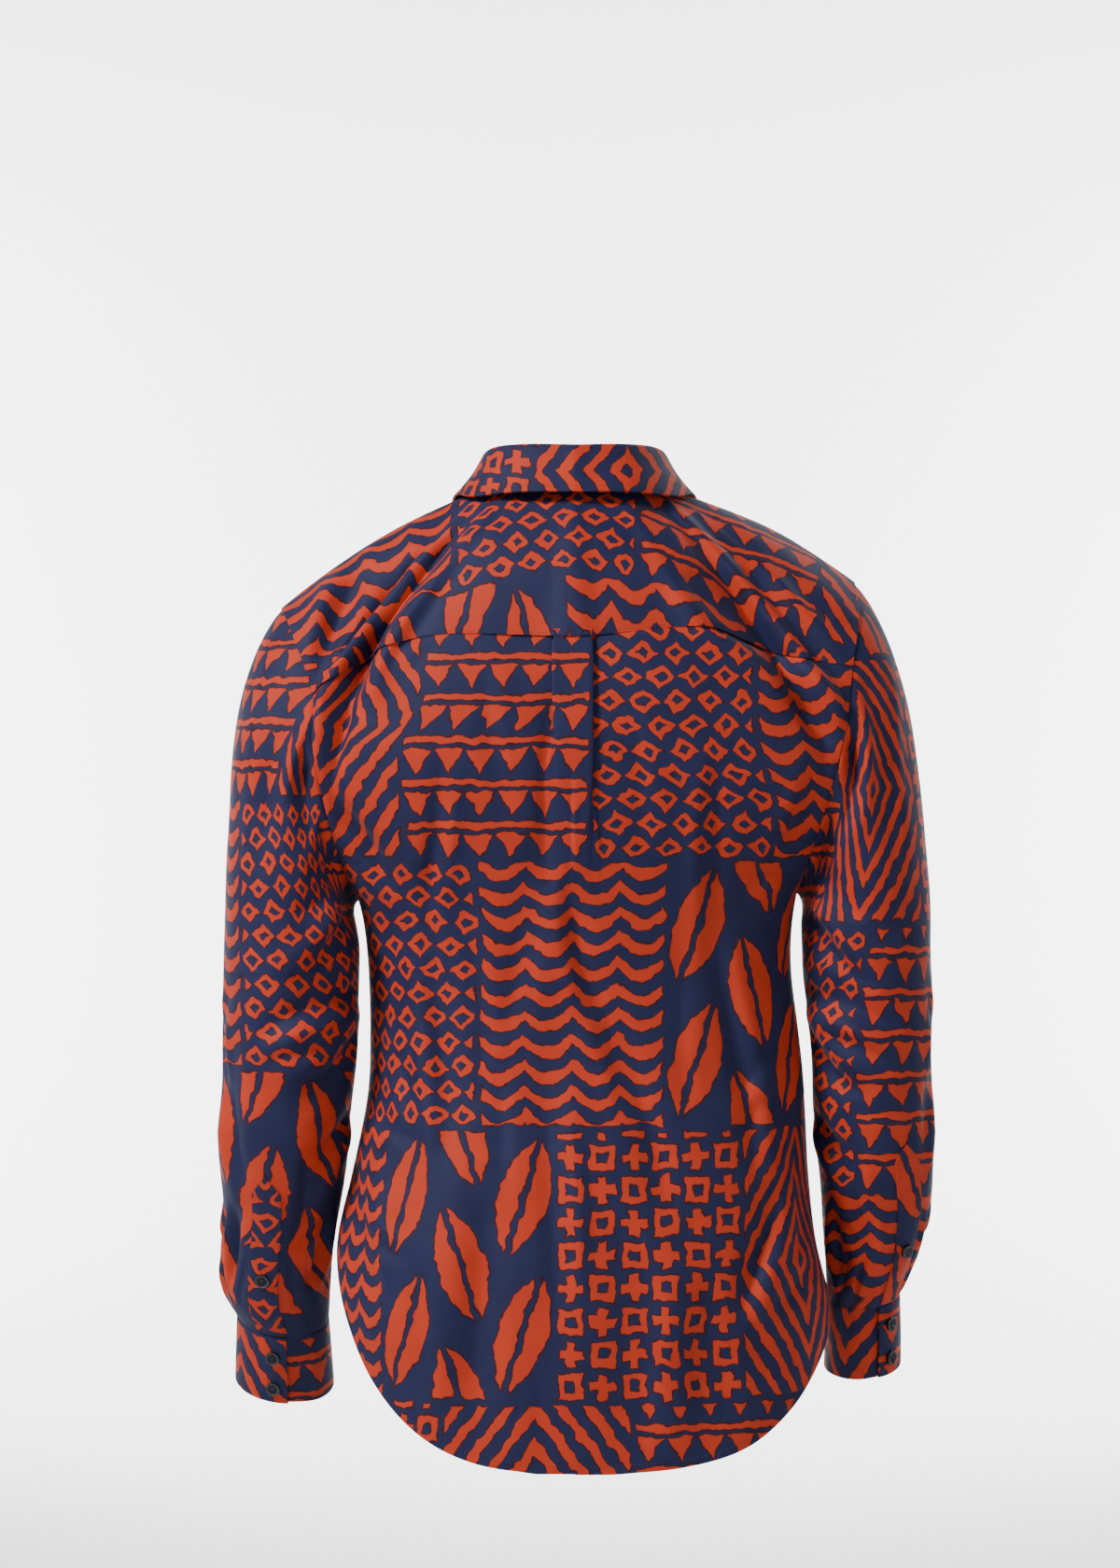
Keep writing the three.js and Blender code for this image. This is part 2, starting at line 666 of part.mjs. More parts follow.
// Fronts: the strip at the centre by x, then along the neckline, then along the front yoke seam
const STRIP_X = [-PLACKET_HALF, -PLACKET_HALF / 3, PLACKET_HALF / 3, PLACKET_HALF];
function frontColumns(side) {
  const columns = STRIP_X.map((x) => ({ side, x: side.x * x }));
  const edgeG = shareAtX(neckCurve, PLACKET_HALF);
  for (let k = 1; k < NECK_COLUMNS + 1; k += 1) {
    const share = k / (NECK_COLUMNS + 1);
    const g = mix(edgeG, NECK_FRONT_CORNER, share);
    columns.push({ side, w: mix(STRIP_EDGE_W, NECK_CORNER_W, share), top: halfPoint(neckCurve, side, g) });
  }
  const seam = side === left ? yokeGrid.map((line) => line[0]) : yokeGrid.map((line) => line[line.length - 1]);
  seam.forEach((p, k) => columns.push({ side, w: mix(NECK_CORNER_W, 1, k / YOKE_STEPS), top: p.clone() }));
  return columns;
}

// The neckline's point at a small x, on either side of the centre front
function neckAtX(x) {
  const p = neckCurve.getPoint(shareAtX(neckCurve, Math.abs(x)));
  p.x = x;
  return p;
}

function frontPoint(column, v) {
  const { side } = column;
  const top = column.x === undefined ? column.top : neckAtX(column.x);
  const wHem = column.w ?? NEAR_CENTRE;
  const z = mix(top.z, hemAt(side, 'front', wHem), v);
  const at = (height) => {
    if (column.x === undefined) return panelPoint(side, 'front', column.w, height);
    const own = column.x > 0 ? left : right;
    const p = panelPoint(own, 'front', widthAt(own, 'front', column.x, height), height);
    p.x = column.x;
    return p;
  };
  const p = at(z);
  const atTop = at(top.z);
  const fade = 1 - ease((top.z - z) / FRONT_TOP_FADE);
  p.x += (top.x - atTop.x) * fade;
  p.y += (top.y - atTop.y) * fade;
  return p;
}

function frontGrid(side) {
  const columns = frontColumns(side);
  return panelRows(side, 'front').map((v) => columns.map((column) => {
    const p = frontPoint(column, v);
    const w = column.w ?? 0;
    const inX = column.w === undefined ? column.x * side.x : Math.abs(p.x);
    const offStrip = column.w === undefined ? 0 : ease((Math.abs(p.x) - PLACKET_HALF) / 20);
    const edge = ease((1 - w) * EDGE_FADE) * offStrip;
    const depth = creaseAt(FRONT_CREASES, p.x, p.z) * edge * ease(v * 12);
    const lap = side === right ? FRONT_LAP * (1 - ease((inX - 18) / 34)) : 0;
    const out = new THREE.Vector3(side.x * w ** 3, -1, 0).normalize();
    return p.addScaledVector(out, -depth - lap);
  }));
}
const frontLeft = frontGrid(left);
const frontRight = frontGrid(right);
const STRIP_COLUMNS = STRIP_X.length;

// The placket strip lies on the left front, made from that panel's own points moved out
const stripBase = frontLeft.map((line) => line.slice(0, STRIP_COLUMNS));
const stripGrid = moved(stripBase, normalsOf(stripBase, false), () => -LAYER); // its normals point inwards

// Sleeves
function sleeveEllipse(side, row, angle) {
  const s = read(side.sleeve, row);
  const lean = s.lean * DEGREE;
  const out = Math.cos(angle);
  const back = Math.sin(angle);
  const x = mix(s.inX, s.outX, (1 + out) / 2);
  const z = mix(s.inZ, s.outZ, (1 + out) / 2) - s.deep * Math.sin(lean) * back;
  return new THREE.Vector3(x, s.midY + s.deep * Math.cos(lean) * back, z);
}

// A point of a sleeve: its row, and its angle from the outermost point (0) over the back (a quarter turn);
// towards the armhole it stands off from the body's cloth by a small gap
function sleevePoint(side, row, angle) {
  const p = sleeveEllipse(side, row, angle);
  if (row < CAP_ROWS) {
    const loop = armholePoint(side, (angle / FULL) * ARMHOLE_KEYS);
    const gap = 0.5 + 0.3 * Math.max(0, Math.cos(angle)) + 1.1 * Math.max(0, -Math.cos(angle));
    loop.x += side.x * gap;
    p.addScaledVector(loop.sub(sleeveEllipse(side, 0, angle)), 1 - ease(row / CAP_ROWS));
  }
  return p;
}

// A sleeve point with its creases, which fade at the armhole and the cuff
function sleeveCreased(side, row, angle) {
  const p = sleevePoint(side, row, angle);
  const centre = sleevePoint(side, row, angle + Math.PI);
  const degrees = (angle / DEGREE + 360) % 360;
  const { top, cuff } = side.placket;
  const aside = (degrees - (top + cuff) / 2) / 24;
  const offPlacket = 1 - Math.exp(-(aside ** 4)) * ease((row - 7.5) / 1.2);
  const fade = ease(row / 2) * ease((CUFF_ROW - row) / 1.2) * offPlacket;
  const depth = creaseAt(SLEEVE_CREASES, degrees, p.z) * fade;
  const inward = centre.sub(p).setLength(1);
  return p.addScaledVector(inward, depth);
}

const SLEEVE_ROWS = [0, 0.5, 1, 1.6, 2.3, 3, 3.7, 4.4];
for (let row = 5; row <= CUFF_ROW; row += 0.5) SLEEVE_ROWS.push(row);
function sleeveGrid(side) {
  return SLEEVE_ROWS.map((row) => Array.from({ length: ARMHOLE_POINTS }, (_, j) => (
    sleeveCreased(side, row, (j / ARMHOLE_POINTS) * FULL)
  )));
}

// Cuffs: a band that runs once round and on beneath its own upper flap
function cuffPoint(side, angle, down, layer) {
  const { length, halfWidth, halfDepth } = side.cuff;
  const s = read(side.sleeve, CUFF_ROW);
  const lean = s.lean * DEGREE;
  const wide = mix(Math.abs(s.outX - s.inX) / 2, halfWidth, down) + layer;
  const deep = mix(s.deep, halfDepth, down) + layer;
  const along = SEAM_GAP + CLOTH / 2 + down * length;
  const middle = new THREE.Vector3((s.outX + s.inX) / 2, s.midY, (s.outZ + s.inZ) / 2);
  const slope = (s.outZ - s.inZ) / (s.outX - s.inX);
  const x = side.x * wide * Math.cos(angle);
  return middle.add(new THREE.Vector3(
    x,
    deep * Math.cos(lean) * Math.sin(angle) - Math.sin(lean) * along,
    slope * x - deep * Math.sin(lean) * Math.sin(angle) - Math.cos(lean) * along,
  ));
}

// The lower layer runs inside over the lap, and comes out to the upper layer's line past it
function cuffGrid(side) {
  const { flapEnd, lap } = side.cuff;
  const grid = [];
  for (let i = 0; i <= CUFF_STEPS; i += 1) {
    const line = [];
    for (let j = 0; j <= CUFF_COLUMNS; j += 1) {
      const turned = (j / CUFF_COLUMNS) * (360 + lap);
      const angle = (flapEnd - turned) * DEGREE;
      const under = ease((turned - 318) / 38);
      line.push(cuffPoint(side, angle, i / CUFF_STEPS, -under * (BAND + SEAM_GAP + 0.2)));
    }
    grid.push(line);
  }
  return grid;
}

// Sleeve placket: a strip with a pointed top on the sleeve's back, from its points moved out
function sleevePlacketPoint(side, across, down) {
  const { top, cuff } = side.placket;
  const cuffZ = sleevePoint(side, CUFF_ROW, cuff * DEGREE).z;
  const topZ = cuffZ + SLEEVE_PLACKET_LENGTH;
  const z = mix(topZ, cuffZ, down);
  const middle = mix(top, cuff, down);
  let low = PLACKET_ROW;
  let high = CUFF_ROW;
  for (let k = 0; k < 24; k += 1) {
    const row = (low + high) / 2;
    if (sleevePoint(side, row, middle * DEGREE).z > z) low = row;
    else high = row;
  }
  const row = Math.min((low + high) / 2, CUFF_ROW - 0.02);
  const s = read(side.sleeve, row);
  const round = Math.PI * Math.hypot(Math.abs(s.outX - s.inX) / 2, s.deep) * Math.SQRT2;
  const narrow = Math.min(1, 0.04 + (down * SLEEVE_PLACKET_LENGTH) / SLEEVE_PLACKET_POINT);
  const angle = middle + (across * narrow * SLEEVE_PLACKET_WIDTH * 180) / round;
  const at = (a, r) => sleeveCreased(side, r, a * DEGREE);
  const p = at(angle, row);
  const aside = at(angle + 3, row).sub(at(angle - 3, row));
  const along = at(angle, Math.min(row + 0.06, CUFF_ROW)).sub(at(angle, row - 0.06));
  const normal = aside.cross(along).normalize();
  if (normal.y < 0) normal.negate();
  return { p, normal };
}
function sleevePlacketGrid(side) {
  const grid = [];
  for (let i = 0; i <= PLACKET_ROWS; i += 1) {
    const shoulder = SLEEVE_PLACKET_POINT / SLEEVE_PLACKET_LENGTH;
    const down = i === 0 ? 0 : mix(shoulder, 0.985, (i - 1) / (PLACKET_ROWS - 1));
    grid.push([-1, -0.34, 0.34, 1].map((across) => {
      const { p, normal } = sleevePlacketPoint(side, across, down);
      return p.addScaledVector(normal, STRIP_LIFT);
    }));
  }
  return grid;
}

// Collar stand: along the neckline, its left end over its right end at the centre front
const standEndG = 2 - shareAtX(neckCurve, STAND_END);
function ringShares() {
  const own = yokeLine.map(({ side, g }) => ({ side, g }));
  const front = (side) => [0.66, 0.75, 0.84, 0.92, 0.97].map((g) => ({ side, g }));
  return [...front(left).reverse(), ...own, ...front(right)];
}
const standLine = [
  { side: left, g: standEndG }, { side: left, g: 1 }, ...ringShares(), { side: right, g: 1 },
  { side: right, g: standEndG },
];
function standPoint({ side, g }, t) {
  const low = halfPoint(neckCurve, side, g);
  const high = halfPoint(standCurve, side, g);
  low.z += NECK_GAP;
  const shorter = 1 - 0.18 * ease((g - 1) / (standEndG - 1));
  const p = low.lerp(high, t * shorter);
  if (side === right) p.y += STAND_LAP * ease((g - 0.84) / 0.14);
  return p;
}
const standGrid = [];
for (let i = 0; i <= STAND_STEPS; i += 1) {
  standGrid.push(standLine.map((c) => standPoint(c, i / STAND_STEPS)));
}

// Collar leaf: rises from the top of the stand, rolls over and falls to its outer edge. t runs from the stand's
// top to the leaf's edge, out and up are how far its middle stands off from that straight line.
const LEAF_PROFILE = [
  { t: 0, out: 0, up: 1.75 },
  { t: 0, out: 1.17, up: 3.2 },
  { t: 0.02, out: 2.55, up: 3.4 },
  { t: 0.1, out: 3.4, up: 2 },
  { t: 0.4, out: 2.34, up: 0.6 },
  { t: 0.7, out: 1.06, up: 0.4 },
  { t: 1, out: 0, up: 0 },
];
const leafLine = ringShares().filter(({ g }) => g < LEAF_END);
const leafEnds = [{ side: left, g: LEAF_END }, ...leafLine, { side: right, g: LEAF_END }];
function leafPoint({ side, g }, { t, out, up }) {
  const fold = halfPoint(standCurve, side, g);
  const edge = leafCurve.getPoint(g / LEAF_END);
  edge.x *= side.x;
  const outward = new THREE.Vector3(fold.x, fold.y + 8, 0).setLength(out);
  const p = fold.lerp(edge, t).add(outward);
  p.z += up;
  if (side === right) p.y += STAND_LAP * ease((g - 0.84) / 0.14) * (1 - t);
  return p;
}
const leafGrid = LEAF_PROFILE.map((row) => leafEnds.map((c) => leafPoint(c, row)));

// A button: a turned disc with a raised rim, facing along a direction
function button(name, place, facing) {
  const r = BUTTON_RADIUS;
  const face = BUTTON_THICK - 0.6;
  const profile = [[0, 0], [r - 0.5, 0], [r, 0.6], [r - 0.3, BUTTON_THICK], [r - 1.5, face], [0, face]];
  const geometry = new THREE.LatheGeometry(profile.map(([x, y]) => new THREE.Vector2(x, y)), BUTTON_SIDES);
  const mesh = new THREE.Mesh(geometry, DARK);
  mesh.name = name;
  mesh.position.copy(place);
  mesh.quaternion.setFromUnitVectors(new THREE.Vector3(0, 1, 0), facing.clone().normalize());
  return mesh;
}

const shirt = new THREE.Group();
shirt.name = 'african_print_shirt';

drawIn(backGrid, { top: SEAM_GAP + 0.1, start: 0.25, end: 0.25 });
shirt.add(wallMesh('back', backGrid, CLOTH, NAVY));
drawIn(yokeGrid, { bottom: 0.15 });
shirt.add(wallMesh('yoke', yokeGrid, CLOTH, ORANGE));
drawIn(frontLeft, { top: SEAM_GAP + 0.3, end: 0.25 });
drawIn(frontRight, { top: SEAM_GAP + 0.3, end: 0.25 });
shirt.add(wallMesh('front_left', frontLeft, CLOTH, NAVY));
shirt.add(wallMesh('front_right', frontRight, CLOTH, NAVY));
shirt.add(wallMesh('front_placket', drawIn(stripGrid, { top: 1.2 }), CLOTH, ORANGE));
shirt.add(wallMesh('collar_stand', standGrid, BAND, ORANGE));
shirt.add(wallMesh('collar_leaf', leafGrid, BAND, NAVY));

for (const side of [left, right]) {
  shirt.add(wallMesh(`sleeve_${side.name}`, sleeveGrid(side), CLOTH, NAVY, true));
  shirt.add(wallMesh(`sleeve_placket_${side.name}`, sleevePlacketGrid(side), CLOTH, ORANGE));
  shirt.add(wallMesh(`cuff_${side.name}`, cuffGrid(side), BAND, ORANGE));
  side.cuff.drops.forEach((down, k) => {
    const angle = side.cuff.buttonsAt * DEGREE;
    const p = cuffPoint(side, angle, down, 0);
    const aside = cuffPoint(side, angle + 0.05, down, 0).sub(cuffPoint(side, angle - 0.05, down, 0));
    const along = cuffPoint(side, angle, down + 0.05, 0).sub(cuffPoint(side, angle, down - 0.05, 0));
    const out = aside.cross(along).normalize();
    if (out.y < 0) out.negate();
    shirt.add(button(`button_cuff_${side.name}_${k + 1}`, p.addScaledVector(out, BAND / 2 + 0.35), out));
  });
  const { p, normal } = sleevePlacketPoint(side, 0, side.placket.button);
  p.addScaledVector(normal, STRIP_LIFT + BUTTON_OFF + 0.3);
  shirt.add(button(`button_sleeve_${side.name}`, p, normal));
}

const neckZ = neckAtX(0).z;
const hemZ = hemAt(left, 'front', NEAR_CENTRE);
FRONT_BUTTONS_Z.forEach((z, k) => {
  const at = (height) => frontPoint({ side: left, x: 0 }, (neckZ - height) / (neckZ - hemZ));
  const p = at(z);
  const slope = at(z + 5).sub(at(z - 5));
  const out = new THREE.Vector3(0, -slope.z, slope.y).normalize();
  shirt.add(button(`button_front_${k + 1}`, p.addScaledVector(out, LAYER + BUTTON_OFF + 0.2), out));
});
const standMiddle = standPoint({ side: left, g: 1 }, STAND_BUTTON_UP);
const standOut = new THREE.Vector3(0, -1, 0.1).normalize();
shirt.add(button('button_stand', standMiddle.addScaledVector(standOut, BAND / 2 + 0.4), standOut));

export default shirt;
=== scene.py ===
import math

import bpy
import numpy as np
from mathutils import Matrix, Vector


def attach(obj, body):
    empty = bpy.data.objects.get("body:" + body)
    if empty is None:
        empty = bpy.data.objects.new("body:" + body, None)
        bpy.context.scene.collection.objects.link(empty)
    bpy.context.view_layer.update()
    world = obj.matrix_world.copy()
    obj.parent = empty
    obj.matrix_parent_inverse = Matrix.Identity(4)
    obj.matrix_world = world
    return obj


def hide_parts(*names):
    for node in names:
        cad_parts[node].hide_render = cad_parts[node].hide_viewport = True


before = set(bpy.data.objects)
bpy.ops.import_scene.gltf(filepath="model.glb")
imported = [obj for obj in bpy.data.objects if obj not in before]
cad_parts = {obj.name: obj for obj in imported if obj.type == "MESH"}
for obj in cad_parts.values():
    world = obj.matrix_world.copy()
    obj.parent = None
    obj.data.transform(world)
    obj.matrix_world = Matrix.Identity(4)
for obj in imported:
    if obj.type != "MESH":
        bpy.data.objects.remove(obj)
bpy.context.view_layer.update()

# Camera and stage. The shirt is looked at from behind and level with the waist, through a long lens,
# on a plain pale floor that runs up into the backdrop all round.
CAMERA_AT = (0.0117, 4.0, -0.2263)
CAMERA_LENS = 115.6
FLOOR_Z = -1.42
STAGE_RADIUS = 7.5
STAGE_HEIGHT = 7.0
STAGE_COLOUR = (0.70, 0.70, 0.70, 1)
COVE_RADIUS = 2.5


def clear_selection():
    if bpy.context.object and bpy.context.object.mode != "OBJECT":
        bpy.ops.object.mode_set(mode="OBJECT")
    bpy.ops.object.select_all(action="DESELECT")


def select_only(piece):
    clear_selection()
    piece.select_set(True)
    bpy.context.view_layer.objects.active = piece


def start_material(name):
    """A new material with its node tree, and its shader."""
    material = bpy.data.materials.new(name)
    material.use_nodes = True
    return material, material.node_tree.nodes["Principled BSDF"]


clear_selection()
bpy.ops.object.camera_add(location=CAMERA_AT, rotation=(math.radians(90), 0, math.radians(180)))
camera = bpy.context.object
camera.name = "camera"
camera.data.lens = CAMERA_LENS
bpy.context.scene.camera = camera

clear_selection()
bpy.ops.mesh.primitive_cylinder_add(
    vertices=96, radius=STAGE_RADIUS, depth=STAGE_HEIGHT, location=(0, 0, FLOOR_Z + STAGE_HEIGHT / 2)
)
stage = bpy.context.object
stage.name = "stage_floor"
bpy.ops.object.mode_set(mode="EDIT")
bpy.ops.mesh.select_all(action="DESELECT")
bpy.ops.object.mode_set(mode="OBJECT")
for face in stage.data.polygons:
    face.select = face.normal.z > 0.5
bpy.ops.object.mode_set(mode="EDIT")
bpy.ops.mesh.delete(type="FACE")
bpy.ops.mesh.select_all(action="SELECT")
bpy.ops.mesh.flip_normals()
bpy.ops.object.mode_set(mode="OBJECT")
cove = stage.modifiers.new("cove", "BEVEL")
cove.width = COVE_RADIUS
cove.segments = 12
bpy.ops.object.modifier_apply(modifier="cove")
bpy.ops.object.shade_smooth()
bpy.ops.object.transform_apply(location=True, rotation=True, scale=True)

stage_paint, paint = start_material("stage_paint")
paint.inputs["Base Color"].default_value = STAGE_COLOUR
paint.inputs["Roughness"].default_value = 0.95
stage.data.materials.append(stage_paint)

# Lights: a soft key light high on the camera's left, a weaker one on its right and one for the shirt's front,
# as in a studio. Two more light the backdrop that the camera sees, and one the floor before it.
SHIRT_MIDDLE = (0, 0, -0.35)
# name, place, aim, size in metres and power in watts
LIGHTS = [
    ("key_light", (2.6, 1.9, 2.2), SHIRT_MIDDLE, 0.9, 205),
    ("fill_light", (-2.6, 3.0, 0.4), SHIRT_MIDDLE, 1.8, 24),
    ("front_light", (-2.1, -2.7, 2.0), SHIRT_MIDDLE, 1.3, 48),
    ("backdrop_left", (2.3, -5.6, 0.4), (0.5, -7.5, -0.2), 1.4, 290),
    ("backdrop_right", (-2.3, -5.6, 0.4), (-0.5, -7.5, -0.2), 1.4, 290),
    ("floor_light", (0, -4.2, 1.8), (0, -6.4, -1.4), 2.2, 300),
]
WORLD_LIGHT = 0.05
for name, place, aim, size, power in LIGHTS:
    clear_selection()
    bpy.ops.object.light_add(type="AREA", location=place)
    lamp = bpy.context.object
    lamp.name = name
    lamp.data.size = size
    lamp.data.energy = power
    lamp.rotation_euler = (Vector(aim) - Vector(place)).to_track_quat("-Z", "Y").to_euler()
world = bpy.data.worlds.new("studio")
world.use_nodes = True
world.node_tree.nodes["Background"].inputs[0].default_value = (1, 1, 1, 1)
world.node_tree.nodes["Background"].inputs[1].default_value = WORLD_LIGHT
bpy.context.scene.world = world

# The printed cotton. Every cut piece is a flat sheet of the same navy and orange poplin, shaped and then
# thickened, and its print lies on it in the flat cut's own metres, as on the bolt. Sizes are in millimetres.
MM = 0.001
CLOTH_THICK = 0.8
NAVY = ((0.0092, 0.0112, 0.050, 1), (0.0142, 0.0170, 0.068, 1))
ORANGE = ((0.43, 0.028, 0.008, 1), (0.52, 0.040, 0.012, 1))
EDGE_INK = (0.032, 0.005, 0.012, 1)
BLOCK_WIDE = 152
BLOCK_HIGH = 212
BLOCK_SHIFT = 61


class Works:
    """Adds nodes and small sums to a material's node tree."""

    def __init__(self, tree):
        self.tree = tree

    def put(self, kind, **settings):
        node = self.tree.nodes.new(kind)
        for key, value in settings.items():
            setattr(node, key, value)
        return node

    def sum(self, operation, *values):
        node = self.put("ShaderNodeMath", operation=operation)
        for socket, value in zip(node.inputs, values):
            if isinstance(value, (int, float)):
                socket.default_value = value
            else:
                self.tree.links.new(value, socket)
        return node.outputs[0]

    def add(self, a, b):
        return self.sum("ADD", a, b)

    def less(self, a, b):
        return self.sum("SUBTRACT", a, b)

    def times(self, a, b):
        return self.sum("MULTIPLY", a, b)

    def size(self, a):
        return self.sum("ABSOLUTE", a)

    def lower(self, a, b):
        return self.sum("MINIMUM", a, b)

    def higher(self, a, b):
        return self.sum("MAXIMUM", a, b)

    def whole(self, a):
        return self.sum("FLOOR", a)

    def within(self, a, period):
        return self.sum("FLOORED_MODULO", a, period)


def noise(works, vector, scale, detail):
    node = works.put("ShaderNodeTexNoise")
    node.inputs["Scale"].default_value = scale
    node.inputs["Detail"].default_value = detail
    works.tree.links.new(vector, node.inputs["Vector"])
    return node


def stripe(works, value, period, half):
    """Less than 0 on a stroke, half wide to each side, that comes back once a period."""
    return works.less(works.size(works.less(works.within(value, period), period / 2)), half)


def nested_lozenges(works, x, y):
    """The motifs of the print: each gives less than 0 on its strokes, at x and y within its block."""
    reach = works.add(
        works.size(works.less(x, BLOCK_WIDE / 2)),
        works.times(works.size(works.less(y, BLOCK_HIGH / 2)), 0.72),
    )
    return stripe(works, reach, 21, 5.4)


def scattered_rings(works, x, y, chance):
    row = works.whole(works.times(y, 1 / 19))
    shifted = works.add(x, works.times(works.within(row, 2), 13))
    local_x = works.less(works.within(works.add(shifted, chance), 26), 13)
    local_y = works.less(works.within(y, 19), 9.5)
    reach = works.add(works.size(local_x), works.times(works.size(local_y), 1.25))
    return works.less(works.size(works.less(reach, 8.3)), 3.9)


def scallops(works, x, y):
    arch = works.times(works.size(works.sum("SINE", works.times(x, math.pi / 38))), 11)
    return stripe(works, works.add(y, arch), 20, 5.3)


def tooth_rows(works, x, y):
    up = works.within(y, 33)
    across = works.size(works.less(works.within(x, 25.2), 12.6))
    tooth = works.higher(works.less(across, works.times(works.less(up, 0.5), 0.6)), works.less(up, 21))
    bar = works.less(works.size(works.less(up, 26.9)), 3.1)
    return works.lower(tooth, bar)


def crosses_and_squares(works, x, y):
    cell = 25.3
    parity = works.within(
        works.add(works.whole(works.times(x, 1 / cell)), works.whole(works.times(y, 1 / cell))), 2
    )
    local_x = works.size(works.less(works.within(x, cell), cell / 2))
    local_y = works.size(works.less(works.within(y, cell), cell / 2))
    cross = works.lower(
        works.higher(works.less(local_x, 4.1), works.less(local_y, 11)),
        works.higher(works.less(local_x, 11), works.less(local_y, 4.1)),
    )
    square = works.less(works.size(works.less(works.higher(local_x, local_y), 7.2)), 3.4)
    return works.add(works.times(cross, parity), works.times(square, works.less(1, parity)))


def broad_leaves(works, x, y):
    column = works.whole(works.times(x, 1 / 50.6))
    lean = works.less(works.times(works.within(column, 2), 2), 1)
    lowered = works.add(y, works.times(works.within(column, 2), 53))
    local_x = works.less(works.within(x, 50.6), 25.3)
    local_y = works.less(works.within(lowered, 106), 53)
    slant = works.times(lean, 0.32)
    turned_x = works.add(local_x, works.times(local_y, slant))
    turned_y = works.less(local_y, works.times(local_x, slant))
    arm = works.add(works.size(turned_x), 50)
    reach = works.sum("SQRT", works.add(works.times(arm, arm), works.times(turned_y, turned_y)))
    leaf = works.less(reach, 71.5)
    vein = works.less(2.3, works.size(turned_x))
    return works.higher(leaf, vein)


def ink(works, at, low, high):
    """Runs softly from 0 to 1 between two values."""
    node = works.put("ShaderNodeMapRange", interpolation_type="SMOOTHSTEP", clamp=True)
    works.tree.links.new(at, node.inputs["Value"])
    node.inputs["From Min"].default_value = low
    node.inputs["From Max"].default_value = high
    return node.outputs["Result"]


def blend_colour(works, share, first, second):
    """The first colour where share is 0 and the second where it is 1; each is a value or a socket."""
    node = works.put("ShaderNodeMix", data_type="RGBA")
    works.tree.links.new(share, node.inputs["Factor"])
    for socket, value in ((node.inputs[6], first), (node.inputs[7], second)):
        if isinstance(value, tuple):
            socket.default_value = value
        else:
            works.tree.links.new(value, socket)
    return node.outputs[2]


